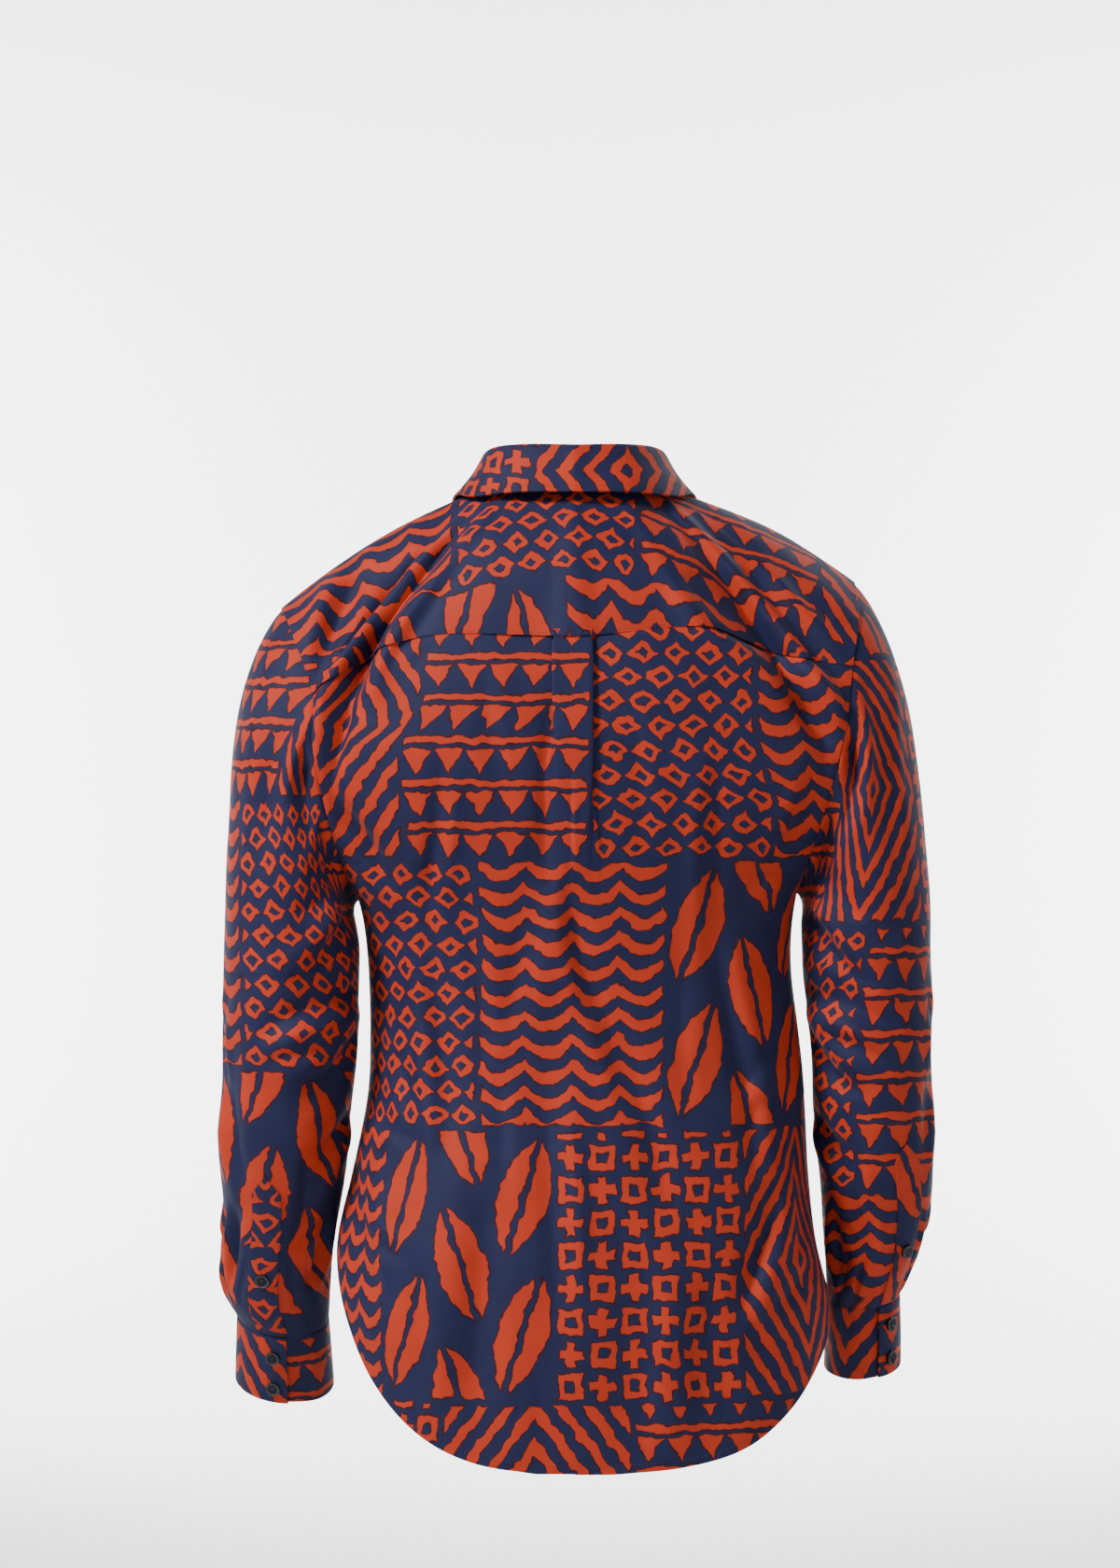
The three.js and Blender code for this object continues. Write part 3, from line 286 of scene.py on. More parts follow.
def make_print():
    """Motifs in blocks, drawn a little unsteadily, then ink, weave and the soft crumple of the cloth."""
    material, shader = start_material("printed_poplin")
    tree = material.node_tree
    works = Works(tree)
    uv = works.put("ShaderNodeTexCoord").outputs["UV"]
    wobble = noise(works, uv, 75, 1.5)
    shaky = noise(works, uv, 330, 1.0)
    parts = works.put("ShaderNodeSeparateXYZ")
    tree.links.new(uv, parts.inputs[0])
    slow = works.put("ShaderNodeSeparateColor")
    tree.links.new(wobble.outputs["Color"], slow.inputs[0])
    fast = works.put("ShaderNodeSeparateColor")
    tree.links.new(shaky.outputs["Color"], fast.inputs[0])
    place = []
    for k in (0, 1):
        millimetres = works.times(parts.outputs[k], 1000)
        drawn = works.add(millimetres, works.times(works.less(slow.outputs[k], 0.5), 9.0))
        place.append(works.add(drawn, works.times(works.less(fast.outputs[k], 0.5), 1.6)))
    row = works.whole(works.times(place[1], 1 / BLOCK_HIGH))
    shifted = works.add(place[0], works.times(row, BLOCK_SHIFT))
    column = works.whole(works.times(shifted, 1 / BLOCK_WIDE))
    x = works.within(shifted, BLOCK_WIDE)
    y = works.within(place[1], BLOCK_HIGH)
    motifs = [
        nested_lozenges(works, x, y),
        tooth_rows(works, x, y),
        scattered_rings(works, x, y, works.times(slow.outputs[2], 6)),
        scallops(works, x, y),
        broad_leaves(works, x, y),
        crosses_and_squares(works, x, y),
    ]
    pick = works.within(works.add(column, works.times(row, 4)), len(motifs))
    stroke = None
    for k, motif in enumerate(motifs):
        chosen = works.times(motif, works.sum("COMPARE", pick, k, 0.4))
        stroke = chosen if stroke is None else works.add(stroke, chosen)
    rim_x = works.less(BLOCK_WIDE / 2, works.size(works.less(x, BLOCK_WIDE / 2)))
    rim_y = works.less(BLOCK_HIGH / 2, works.size(works.less(y, BLOCK_HIGH / 2)))
    stroke = works.higher(stroke, works.less(2.2, works.lower(rim_x, rim_y)))

    uneven = noise(works, uv, 26, 1.0)
    ground = blend_colour(works, uneven.outputs["Fac"], NAVY[0], NAVY[1])
    bright = blend_colour(works, uneven.outputs["Fac"], ORANGE[0], ORANGE[1])
    coloured = blend_colour(works, ink(works, stroke, -0.95, -0.55), bright, EDGE_INK)
    coloured = blend_colour(works, ink(works, stroke, 0.35, 0.75), coloured, ground)

    threads = works.put("ShaderNodeTexWave", wave_type="BANDS", bands_direction="X")
    threads.inputs["Scale"].default_value = 380
    tree.links.new(uv, threads.inputs["Vector"])
    picks = works.put("ShaderNodeTexWave", wave_type="BANDS", bands_direction="Y")
    picks.inputs["Scale"].default_value = 340
    tree.links.new(uv, picks.inputs["Vector"])
    weave = works.add(threads.outputs["Fac"], picks.outputs["Fac"])
    slubs = noise(works, uv, 900, 1.0)
    cloth = works.add(works.times(weave, 0.5), works.times(slubs.outputs["Fac"], 0.8))
    # darker in the hollows of the weave and slubs and lighter on their rises, as the bump: painted shade of
    # the fine relief
    weave_shade = works.add(works.times(cloth, 0.16), 0.88)
    shade = works.put("ShaderNodeVectorMath", operation="SCALE")
    tree.links.new(coloured, shade.inputs[0])
    tree.links.new(weave_shade, shade.inputs["Scale"])
    tree.links.new(shade.outputs[0], shader.inputs["Base Color"])
    rough = works.add(works.times(slubs.outputs["Fac"], 0.12), 0.6)
    tree.links.new(rough, shader.inputs["Roughness"])
    shader.inputs["Sheen Weight"].default_value = 0.06
    shader.inputs["Sheen Roughness"].default_value = 0.45
    shader.inputs["Specular IOR Level"].default_value = 0.22
    crumple = noise(works, uv, 34, 2.0)
    height = works.add(works.times(cloth, 0.00010), works.times(crumple.outputs["Fac"], 0.0016))
    bump = works.put("ShaderNodeBump")
    bump.inputs["Strength"].default_value = 0.7
    bump.inputs["Distance"].default_value = 1.0
    tree.links.new(height, bump.inputs["Height"])
    tree.links.new(bump.outputs["Normal"], shader.inputs["Normal"])
    return material


printed_poplin = make_print()


def normals_of(points):
    """Unit normals of a grid of points (rows, columns, 3)."""
    normal = np.cross(np.gradient(points, axis=1), np.gradient(points, axis=0))
    return normal / np.maximum(np.linalg.norm(normal, axis=-1, keepdims=True), 1e-9)


def flat_lengths(points, middle):
    """The flat cut's coordinates of a shaped grid, in metres: across from its middle column, down it."""
    step = np.linalg.norm(np.diff(points, axis=1), axis=-1)
    across = np.concatenate([np.zeros((len(points), 1)), np.cumsum(step, 1)], 1)
    across -= across[:, [middle]]
    fall = np.linalg.norm(np.diff(points, axis=0), axis=-1)
    down = np.concatenate([np.zeros((1, points.shape[1])), np.cumsum(fall, 0)], 0)
    return across * MM, down * MM


def cut_cloth(name, points, across, down, thick=CLOTH_THICK, tube=False, edge=0.0):
    """A flat grid of cloth, moved onto the points and thickened; a tube's long edges are joined."""
    rows, columns = points.shape[:2]
    clear_selection()
    bpy.ops.mesh.primitive_grid_add(x_subdivisions=columns - 1, y_subdivisions=rows - 1, size=1)
    piece = bpy.context.object
    piece.name = name
    flat = np.empty(len(piece.data.vertices) * 3)
    piece.data.vertices.foreach_get("co", flat)
    flat = flat.reshape(-1, 3)
    j = np.rint((flat[:, 0] + 0.5) * (columns - 1)).astype(int)
    i = np.rint((0.5 - flat[:, 1]) * (rows - 1)).astype(int)
    piece.data.vertices.foreach_set("co", (points[i, j] * MM).ravel())
    corner = np.empty(len(piece.data.loops), dtype=np.int32)
    piece.data.loops.foreach_get("vertex_index", corner)
    uv = np.stack([across[i, j], -down[i, j]], 1)
    piece.data.uv_layers[0].data.foreach_set("uv", uv[corner].ravel())
    piece.data.update()
    if tube:
        bpy.ops.object.mode_set(mode="EDIT")
        bpy.ops.mesh.select_all(action="SELECT")
        bpy.ops.mesh.remove_doubles(threshold=0.00001)
        bpy.ops.object.mode_set(mode="OBJECT")
    wall = piece.modifiers.new("wall", "SOLIDIFY")
    wall.thickness = thick * MM
    wall.offset = 0
    bpy.ops.object.modifier_apply(modifier="wall")
    if edge:
        rounded = piece.modifiers.new("rounded edge", "BEVEL")
        rounded.width = edge * MM
        rounded.segments = 2
        rounded.limit_method = "ANGLE"
        rounded.angle_limit = math.radians(60)
        bpy.ops.object.modifier_apply(modifier="rounded edge")
    bpy.ops.object.shade_smooth_by_angle(angle=math.radians(50))
    piece.data.materials.clear()
    piece.data.materials.append(printed_poplin)
    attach(piece, "root")
    return piece


def facing_out(normal, out):
    """Normals turned so that most of them point along out."""
    return normal if np.sum(normal * out) > 0 else -normal


# Stitches are short raised lengths of navy thread, about three to the centimetre, sunk into the cloth at both
# ends. Each row of them is one joined piece that rides with the cloth it holds.
STITCH_LONG = 2.2
STITCH_PITCH = 3.1
STITCH_WIDE = 0.5
STITCH_HIGH = 0.42

thread, thread_shader = start_material("navy_thread")
thread_works = Works(thread.node_tree)
ply = thread_works.put("ShaderNodeTexWave", wave_type="BANDS", bands_direction="DIAGONAL")
ply.inputs["Scale"].default_value = 1500
thread.node_tree.links.new(thread_works.put("ShaderNodeTexCoord").outputs["Object"], ply.inputs["Vector"])
thread.node_tree.links.new(
    blend_colour(thread_works, ply.outputs["Fac"], (0.012, 0.014, 0.035, 1), (0.03, 0.034, 0.075, 1)),
    thread_shader.inputs["Base Color"],
)
thread_shader.inputs["Roughness"].default_value = 0.55


def sew(name, runs, lift, pitch=STITCH_PITCH):
    """Rows of stitches: each run is a pair of lines, the path in millimetres and the way out of the cloth."""
    corners, faces = [], []
    for path, out in runs:
        gone = np.concatenate([[0], np.cumsum(np.linalg.norm(np.diff(path, axis=0), axis=1))])
        for start in np.arange(pitch / 2, gone[-1] - STITCH_LONG, pitch):
            ends = [
                np.array([np.interp(start + d, gone, path[:, k]) for k in range(3)])
                for d in (0, STITCH_LONG / 2, STITCH_LONG)
            ]
            up = np.array([np.interp(start + STITCH_LONG / 2, gone, out[:, k]) for k in range(3)])
            up /= np.linalg.norm(up)
            aside = np.cross(ends[2] - ends[0], up)
            aside *= STITCH_WIDE / 2 / np.linalg.norm(aside)
            base = len(corners)
            corners += [
                ends[0] + up * (lift - 0.1),
                ends[2] + up * (lift - 0.1),
                ends[1] + aside + up * lift,
                ends[1] - aside + up * lift,
                ends[1] + up * (lift + STITCH_HIGH),
                ends[1] + up * (lift - 0.25),
            ]
            for a, b in ((0, 2), (2, 1), (1, 3), (3, 0)):
                faces.append((base + a, base + b, base + 4))
                faces.append((base + b, base + a, base + 5))
    mesh = bpy.data.meshes.new(name)
    mesh.from_pydata([tuple(c * MM) for c in corners], [], faces)
    row = bpy.data.objects.new(name, mesh)
    bpy.context.scene.collection.objects.link(row)
    row.data.materials.append(thread)
    select_only(row)
    bpy.ops.object.mode_set(mode="EDIT")
    bpy.ops.mesh.select_all(action="SELECT")
    bpy.ops.mesh.normals_make_consistent(inside=False)
    bpy.ops.object.mode_set(mode="OBJECT")
    bpy.ops.object.shade_smooth()
    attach(row, "root")
    return row


def line_on(points, normal, i, j):
    """Places and normals on a grid at fractional rows i and columns j."""
    i, j = np.broadcast_arrays(np.asarray(i, float), np.asarray(j, float))
    i0 = np.clip(np.floor(i).astype(int), 0, points.shape[0] - 2)
    j0 = np.clip(np.floor(j).astype(int), 0, points.shape[1] - 2)
    a, b = (i - i0)[:, None], (j - j0)[:, None]

    def at(grid):
        top = grid[i0, j0] * (1 - b) + grid[i0, j0 + 1] * b
        return top * (1 - a) + (grid[i0 + 1, j0] * (1 - b) + grid[i0 + 1, j0 + 1] * b) * a

    return at(points), at(normal)


# The back: one piece from armhole to armhole. A box pleat is folded in under the yoke at its centre, three
# layers deep, and opens out below into soft folds; the hem is a shirt tail, turned up narrow and stitched.

# These tables also serve the yoke and the fronts: how deep and wide the shirt is at each height, where the
# yoke seam and the hem run, and the armholes, once round from the shoulder tip.
TORSO = {
    "columns": ["z", "back", "front", "left", "right"],
    "rows": [
        (-40, 78, -56, 190, 190),
        (-62, 90, -67, 190, 190),
        (-100, 104, -90, 190, 190),
        (-150, 117, -111, 189, 189),
        (-200, 119, -120, 188, 187),
        (-262, 112, -121, 182, 183),
        (-300, 104, -117, 173, 175),
        (-328, 99, -114, 166, 171),
        (-372, 95, -110, 163, 171),
        (-416, 93, -108, 162, 176),
        (-475, 98, -109, 164, 182),
        (-533, 108, -111, 176, 185),
        (-588, 116, -114, 188, 191),
        (-643, 119, -115, 187, 203),
        (-700, 116, -115, 182, 200),
        (-770, 111, -113, 174, 190),
    ],
}
PANEL_TURN = {
    "columns": ["z", "turn"],
    "rows": [(-60, 50), (-165, 50), (-225, 55), (-275, 70), (-310, 90), (-340, 90)],
}
YOKE_SEAM = {
    "columns": ["w", "left", "right"],
    "rows": [(0, -112, -112), (0.35, -110, -104), (0.52, -116, -116), (0.75, -132, -128), (1, -157, -134)],
}
HEM = {
    "columns": ["w", "back_left", "back_right", "front_left", "front_right"],
    "rows": [
        (0, -761, -761, -740, -740),
        (0.25, -752, -755, -734, -736),
        (0.45, -730, -741, -715, -721),
        (0.63, -694, -712, -683, -696),
        (0.8, -646, -676, -641, -664),
        (1, -594, -640, -594, -640),
    ],
}
ARMHOLE = {
    "left": [
        (233, -6, -87), (223, 40, -106), (205, 70, -157), (204, 84, -198),
        (194, 78, -248), (180, 46, -298), (171, 0, -317), (173, -44, -302),
        (187, -74, -250), (197, -84, -196), (206, -74, -146), (222, -40, -107),
    ],
    "right": [
        (-222, -6, -66), (-223, 38, -95), (-217, 66, -134), (-211, 82, -180),
        (-198, 78, -234), (-182, 46, -290), (-175, 0, -311), (-177, -44, -295),
        (-190, -74, -244), (-202, -84, -186), (-211, -72, -132), (-221, -38, -93),
    ],
}
ARMHOLE_KEYS = 12
BACK_CORNER = 2
FRONT_CORNER = 11
ARMPIT = 6
SQUARENESS = 0.85
SIGN = {"left": 1, "right": -1}

# Creases: each runs from one point to another (x, z, x, z), as a trough with a lower ridge beside it. Half
# width and depth come last; a half width less than 0 puts the ridge on the other side.
BACK_CREASES = [
    (120, -44, 182, -162, 11, 21),
    (160, -108, 204, -232, -10, 18),
    (160, -50, 214, -162, -10, 15),
    (92, -30, 134, -112, -12, 9),
    (-86, -60, -172, -144, -11, 21),
    (-142, -104, -214, -204, 10, 18),
    (-128, -56, -214, -152, 10, 15),
    (-60, -30, -116, -98, 12, 8),
    (22, -140, 17, -340, -8, 4),
    (14, -300, -22, -400, -9, 6),
    (-14, -360, -70, -560, -12, 8),
    (36, -250, 46, -430, 12, 5),
    (108, -208, 110, -360, 8, 6),
    (108, -330, 102, -520, -9, 6),
    (-106, -200, -112, -350, -8, 6),
    (-110, -330, -140, -548, 9, 7),
    (146, -330, 148, -520, -11, 5),
    (178, -520, 152, -640, 10, 8),
    (-150, -530, -132, -650, 10, 10),
    (-184, -470, -176, -600, 12, 6),
    (76, -520, 66, -750, -17, 8),
    (-34, -560, -50, -760, 17, 7),
    (-104, -590, -104, -745, -15, 6),
    (16, -420, 26, -700, 15, 6),
    (200, -206, 146, -318, 10, 7),
    (190, -246, 118, -330, -9, 5),
    (-200, -206, -150, -300, -10, 7),
    (-192, -250, -120, -320, 9, 5),
    # finer ones between them
    (110, -84, 152, -150, 6, 2.2),
    (184, -88, 214, -140, -6, 2.4),
    (150, -70, 176, -112, 6, -2.0),
    (-112, -62, -150, -96, 6, 2.0),
    (-176, -92, -214, -140, 6, 2.4),
    (-124, -128, -178, -176, 7, 2.2),
    (66, -132, 58, -260, 8, 2.2),
    (-40, -140, -52, -300, 8, 2.2),
    (80, -300, 74, -480, 8, 2.4),
    (-76, -330, -92, -500, 8, 2.4),
    (132, -400, 124, -560, 7, 2.6),
    (-168, -380, -158, -500, 7, 2.6),
    (60, -430, 44, -600, 8, 2.2),
    (-6, -470, -14, -640, -8, 2.2),
    (160, -430, 112, -476, 8, 2.4),
    (156, -480, 118, -512, -7, 2.0),
    (-164, -420, -116, -470, 8, 2.4),
    (-160, -470, -120, -508, -7, 2.0),
    (120, -600, 112, -700, 8, 2.6),
    (30, -620, 24, -752, -9, 2.4),
    (-76, -620, -80, -740, 8, 2.2),
    (-150, -620, -138, -700, -8, 2.4),
    (182, -560, 130, -598, 7, 2.6),
    (-196, -590, -150, -640, -7, 2.4),
    (-120, -660, -118, -730, 8, 2.0),
]
# the pleat's section from its outer edge to its middle: across, lift over the back, and across once open
PLEAT = {
    "fold": [
        (26, 0, 30), (8, 0, 23), (6.8, 1.1, 21), (8, 2.2, 19), (14.4, 2.2, 15), (15.6, 3.3, 13),
        (14.4, 4.4, 11), (7, 4.4, 5.5), (0, 4.4, 0),
    ],
    "opens": {"left": (-150, -250), "right": (-185, -315)},
}
PLEAT_MIDDLE = 2
BACK_PRINT = (0.047, 0.031)
PLAIN_COLUMNS = 56
PLEAT_STEPS = 30
PLEAT_EDGE_W = 0.13
BACK_ROWS = 190
TUCK = 1.3
TUCK_LONG = 5
TUCK_FADE = 7
EDGE_FADE = 12
HEM_DEEP = 6
BACK_ROW_PITCH = 3.3


def ease(t):
    t = np.clip(t, 0, 1)
    return t * t * (3 - 2 * t)


def mix(a, b, t):
    return a + (b - a) * t


def read(table, column, at):
    """One column of a table at values of its first column, by a cubic through its rows."""
    rows = np.array(sorted(table["rows"]), float)
    keys, values = rows[:, 0], rows[:, table["columns"].index(column)]
    slopes = np.empty(len(keys))
    slopes[1:-1] = (values[2:] - values[:-2]) / (keys[2:] - keys[:-2])
    slopes[0] = (values[1] - values[0]) / (keys[1] - keys[0])
    slopes[-1] = (values[-1] - values[-2]) / (keys[-1] - keys[-2])
    at = np.clip(np.asarray(at, float), keys[0], keys[-1])
    k = np.clip(np.searchsorted(keys, at, side="right") - 1, 0, len(keys) - 2)
    span = keys[k + 1] - keys[k]
    t = (at - keys[k]) / span
    start = values[k] * (2 * t**3 - 3 * t**2 + 1) + slopes[k] * span * (t**3 - 2 * t**2 + t)
    return start + values[k + 1] * (3 * t**2 - 2 * t**3) + slopes[k + 1] * span * (t**3 - t**2)


def curve(points, at, closed=False):
    """Points on a smooth line through a list of points; at counts them from 0."""
    p = np.array(points, float)
    at = np.asarray(at, float)
    if closed:
        k = np.floor(at).astype(int)
        four = [p[(k + d) % len(p)] for d in (-1, 0, 1, 2)]
    else:
        p = np.vstack([2 * p[0] - p[1], p, 2 * p[-1] - p[-2]])
        k = np.clip(np.floor(at).astype(int), 0, len(p) - 4)
        four = [p[k + 1 + d] for d in (-1, 0, 1, 2)]
    t = (at - k)[..., None]
    before, start, end, after = four
    lead, tail = (end - before) / 2, (after - start) / 2
    return (
        start * (2 * t**3 - 3 * t**2 + 1) + lead * (t**3 - 2 * t**2 + t)
        + end * (3 * t**2 - 2 * t**3) + tail * (t**3 - t**2)
    )


def crease_at(creases, a, b):
    """How deep the cloth lies at each place, below its form without creases."""
    depth = np.zeros(np.broadcast(a, b).shape)
    for a1, b1, a2, b2, wide, deep in creases:
        length = math.hypot(a2 - a1, b2 - b1)
        along = ((a - a1) * (a2 - a1) + (b - b1) * (b2 - b1)) / length**2
        aside = ((a - a1) * (b2 - b1) - (b - b1) * (a2 - a1)) / length / wide
        aside = aside + 0.5 * np.sin(along * 4.2 + a1 * 0.1)
        section = np.exp(-(np.abs(aside) ** 1.7)) - 0.5 * np.exp(-((aside - 1.55) ** 2) * 1.3)
        depth += deep * section * np.sin(math.pi * np.clip(along, 0, 1)) ** 0.8
    return depth


def ripple(a, b, seed, size, height):
    """Slow uneven swells in cloth, from a few crossed waves."""
    made = np.random.default_rng(seed)
    swell = np.zeros(np.broadcast(a, b).shape)
    for _ in range(9):
        turn = made.uniform(0, math.pi)
        shift = made.uniform(0, 2 * math.pi)
        long = size * made.uniform(0.7, 1.7)
        swell += np.sin((a * math.cos(turn) + 0.55 * b * math.sin(turn)) * 2 * math.pi / long + shift)
    return height * swell / 3


def edge_lines():
    """Where each panel's outer edge runs down armhole and side seam, and that line with softened corners."""
    heights = np.arange(-820.0, -20.0)
    blur = np.exp(-(np.arange(-60, 61) ** 2) / (2 * 20.0**2))
    lines = {}
    for side in ("left", "right"):
        for face, last in (("back", 0), ("front", ARMHOLE_KEYS)):
            line = curve(ARMHOLE[side], np.linspace(ARMPIT, last, 400), closed=True)
            line = line[np.argsort(line[:, 2])]
            pit = ARMHOLE[side][ARMPIT]
            step = (pit[0] - SIGN[side] * read(TORSO, side, pit[2])) * (1 - ease((pit[2] - heights) / 60))
            side_seam = SIGN[side] * read(TORSO, side, heights) + step
            above = heights >= pit[2]
            x = np.where(above, np.interp(heights, line[:, 2], line[:, 0]), side_seam)
            y = np.where(above, np.interp(heights, line[:, 2], line[:, 1]), 0)
            soft = [np.convolve(np.pad(k, 60, mode="edge"), blur / blur.sum(), mode="valid") for k in (x, y)]
            lines[side, face] = (heights, x, y, *soft)
    return lines


EDGES = edge_lines()


def panel(side, face, w, z):
    """A point of back or front: w is 0 at the centre and 1 at the armhole or side seam."""
    heights, *lines = EDGES[side, face]
    edge_x, edge_y, soft_x, soft_y = [np.interp(z, heights, line) for line in lines]
    turn = np.radians(read(PANEL_TURN, "turn", z))
    angle = w * turn
    x = soft_x * (np.sin(angle) / np.sin(turn)) ** SQUARENESS
    flat = np.maximum(0, np.cos(turn)) ** SQUARENESS
    share = (np.maximum(0, np.cos(angle)) ** SQUARENESS - flat) / (1 - flat)
    y = mix(soft_y, read(TORSO, face, z), share)
    outer = w**7
    return np.stack([x + (edge_x - soft_x) * outer, y + (edge_y - soft_y) * outer, z * np.ones_like(x)], -1)


def width_at(side, face, x, z):
    """The w of a point of back or front that lies x from the centre."""
    heights, *lines = EDGES[side, face]
    turn = np.radians(read(PANEL_TURN, "turn", z))
    share = (np.abs(x) / np.abs(np.interp(z, heights, lines[2]))) ** (1 / SQUARENESS)
    return np.arcsin(np.clip(share, 0, 1) * np.sin(turn)) / turn


plain = {side: np.linspace(1, PLEAT_EDGE_W, PLAIN_COLUMNS) for side in ("left", "right")}
fold = curve(PLEAT["fold"], np.linspace(0, len(PLEAT["fold"]) - 1, PLEAT_STEPS))
v = np.linspace(0, 1, BACK_ROWS)[:, None]


def back_depth(x, z):
    return crease_at(BACK_CREASES, x, z) + ripple(x, z, seed=11, size=95, height=0.8)


def back_half(side):
    """Points of half of the back, from the armhole to the pleat's middle."""
    w = plain[side][None, :]
    top = read(YOKE_SEAM, side, w)
    z = mix(top, read(HEM, "back_" + side, w), v)
    base = panel(side, "back", w, z)
    depth = back_depth(base[..., 0], z) * ease((1 - w) * EDGE_FADE)
    out = np.stack(np.broadcast_arrays(SIGN[side] * w**3, 1.0, 0.0), -1)
    out = out / np.linalg.norm(out, axis=-1, keepdims=True)
    flat_part = base - out * depth[..., None]

    x, lift, opened = fold[:, 0][None, :], fold[:, 1][None, :], fold[:, 2][None, :]
    z = mix(read(YOKE_SEAM, side, 0.05), read(HEM, "back_" + side, 0.05), v) * np.ones_like(x)
    starts, ends = PLEAT["opens"][side]
    open_ = np.clip((z - starts) / (ends - starts), 0, 1)
    across = PLEAT_MIDDLE * (1 - v) + SIGN[side] * mix(x, opened, ease(open_ / 0.75))
    base = np.where(
        (across > 0)[..., None],
        panel("left", "back", width_at("left", "back", across, z), z),
        panel("right", "back", width_at("right", "back", across, z), z),
    )
    base[..., 0] = across
    rise = lift * (1 - ease((open_ - 0.5) / 0.5))
    base[..., 1] += rise - back_depth(across, z) * ease((-112 - z) / 60)
    return np.concatenate([flat_part, base], 1)


def tuck_under(points, normal, beyond):
    """Draws a panel's top in under the yoke and adds a row above it, beyond a distance from the centre."""
    share = 1 - ease((points[:1, :, 2] - points[..., 2]) / TUCK_FADE)
    share = share * ease((np.abs(points[..., 0]) - beyond) / 8)
    points = points - normal * (TUCK * share)[..., None]
    up = points[:1] - points[1:2]
    long = TUCK_LONG * ease((np.abs(points[:1, :, :1]) - beyond) / 10)
    up *= long / np.linalg.norm(up, axis=-1, keepdims=True)
    points = np.concatenate([points[:1] + up - normal[:1] * 0.5, points], 0)
    return points, np.concatenate([normal[:1], normal], 0)


half_left, half_right = back_half("left"), back_half("right")
pleat_middle = half_left[:, -1:] * 0.5 + half_right[:, -1:] * 0.5
back_points = np.concatenate([half_left[:, :-1], pleat_middle, half_right[:, :-1][:, ::-1]], 1)
back_normals = facing_out(normals_of(back_points), np.array([0, 1, 0]))
back_points, back_normals = tuck_under(back_points, back_normals, -99)
back_middle = back_points.shape[1] // 2
across, down = flat_lengths(back_points, back_middle)
down = np.interp(-back_points[..., 2], -back_points[:, back_middle, 2], down[:, back_middle])
back = cut_cloth("shirt_back", back_points, across + BACK_PRINT[0], down + BACK_PRINT[1])
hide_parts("back")
hem_row = np.full(back_points.shape[1], back_points.shape[0] - 1 - HEM_DEEP / BACK_ROW_PITCH)
hem_line = line_on(back_points, back_normals, hem_row, np.arange(back_points.shape[1]))
sew("stitches_back_hem", [hem_line], CLOTH_THICK / 2)
armhole_rows = np.linspace(3, 0.33 * BACK_ROWS, 80)
last_column = back_points.shape[1] - 1
beside_armholes = [
    line_on(back_points, back_normals, armhole_rows, np.full(80, column)) for column in (2, last_column - 2)
]
sew("stitches_back_armholes", beside_armholes, CLOTH_THICK / 2)

# The yoke: one piece over both shoulders, from a straight seam across the shoulder blades to a seam on each
# front. It is laid over the edges of back and fronts and stitched down close to its own edge.
NECKLINE = [
    (0, 52, 6), (41, 44, 7), (66, 21, 8), (76, -8, 5),
    (72, -36, -10), (54, -55, -35), (27, -65, -54), (0, -68, -62),
]
NECK_BACK_PART = 0.3
NECK_FRONT_CORNER = 4 / 7
YOKE_ROWS = 54
ARM_SAMPLES = 42
BACK_SAMPLES = 46
YOKE_PRINT = (0.113, 0.09)


def half_line(points, side, g):
    """A half line from centre back (0) to centre front (1), on one side; past 1 it crosses the centre."""
    g = np.asarray(g, float)
    p = curve(points, np.where(g <= 1, g, 2 - g) * (len(points) - 1))
    p[..., 0] *= np.where(g <= 1, SIGN[side], -SIGN[side])
    return p


def yoke_swell(g):
    """How far the yoke bulges over the shoulders, along its neck share g."""
    shoulder, front = ease(g / 0.35), ease((g - 0.35) / 0.25)
    return np.stack([np.zeros_like(g), 11 * (1 - shoulder) - 5 * front, 2 + 12 * shoulder - 5 * front], -1)


def yoke_edge(side):
    """The yoke's outer edge, from its front corner round the armhole to the centre back, and neck shares."""
    keys = np.linspace(FRONT_CORNER, ARMHOLE_KEYS + BACK_CORNER, ARM_SAMPLES)
    arm = curve(ARMHOLE[side], keys, closed=True)
    arm_g = np.linspace(NECK_FRONT_CORNER, NECK_BACK_PART, ARM_SAMPLES)
    w = np.linspace(1, 0, BACK_SAMPLES)[1:]
    z = read(YOKE_SEAM, side, w)
    seam = panel(side, "back", w, z)
    out = np.stack([SIGN[side] * w**3, np.ones_like(w), np.zeros_like(w)], -1)
    out /= np.linalg.norm(out, axis=-1, keepdims=True)
    depth = crease_at(BACK_CREASES, seam[:, 0], z)
    near_edge = ease((1 - w) * EDGE_FADE)
    seam -= out * (depth * near_edge)[:, None]
    pleat = PLEAT["fold"][-1][1] * (1 - ease((np.abs(seam[:, 0] - PLEAT_MIDDLE) - 12) / 7))
    seam[:, 1] += pleat
    seam_g = NECK_BACK_PART * np.linspace(1, 0, BACK_SAMPLES)[1:]
    edge = np.concatenate([arm, seam])
    return edge, np.concatenate([arm_g, seam_g]), np.concatenate([0 * arm_g, near_edge])


def yoke_half(side):
    """Points of half of the yoke, from the neckline (first row) to its outer edge."""
    edge, g, follows = yoke_edge(side)
    t = np.linspace(0, 1, YOKE_ROWS)[:, None, None]
    neck = half_line(NECKLINE, side, g)[None]
    p = neck * (1 - t) + edge[None] * t + yoke_swell(g)[None] * 4 * t * (1 - t)
    behind = ease((p[..., 1] - 8) / 30)
    t = t[..., 0]
    depth = crease_at(BACK_CREASES, p[..., 0], p[..., 2])
    depth = depth * mix(1 - t**6, 1 - t, follows) * ease(t * 3) * behind
    swell = ripple(p[..., 0], p[..., 1] * 2, seed=5, size=80, height=0.7)
    depth = depth + swell * ease((1 - t) * 6)
    return p - np.array([0, 0.75, 0.66]) * depth[..., None]


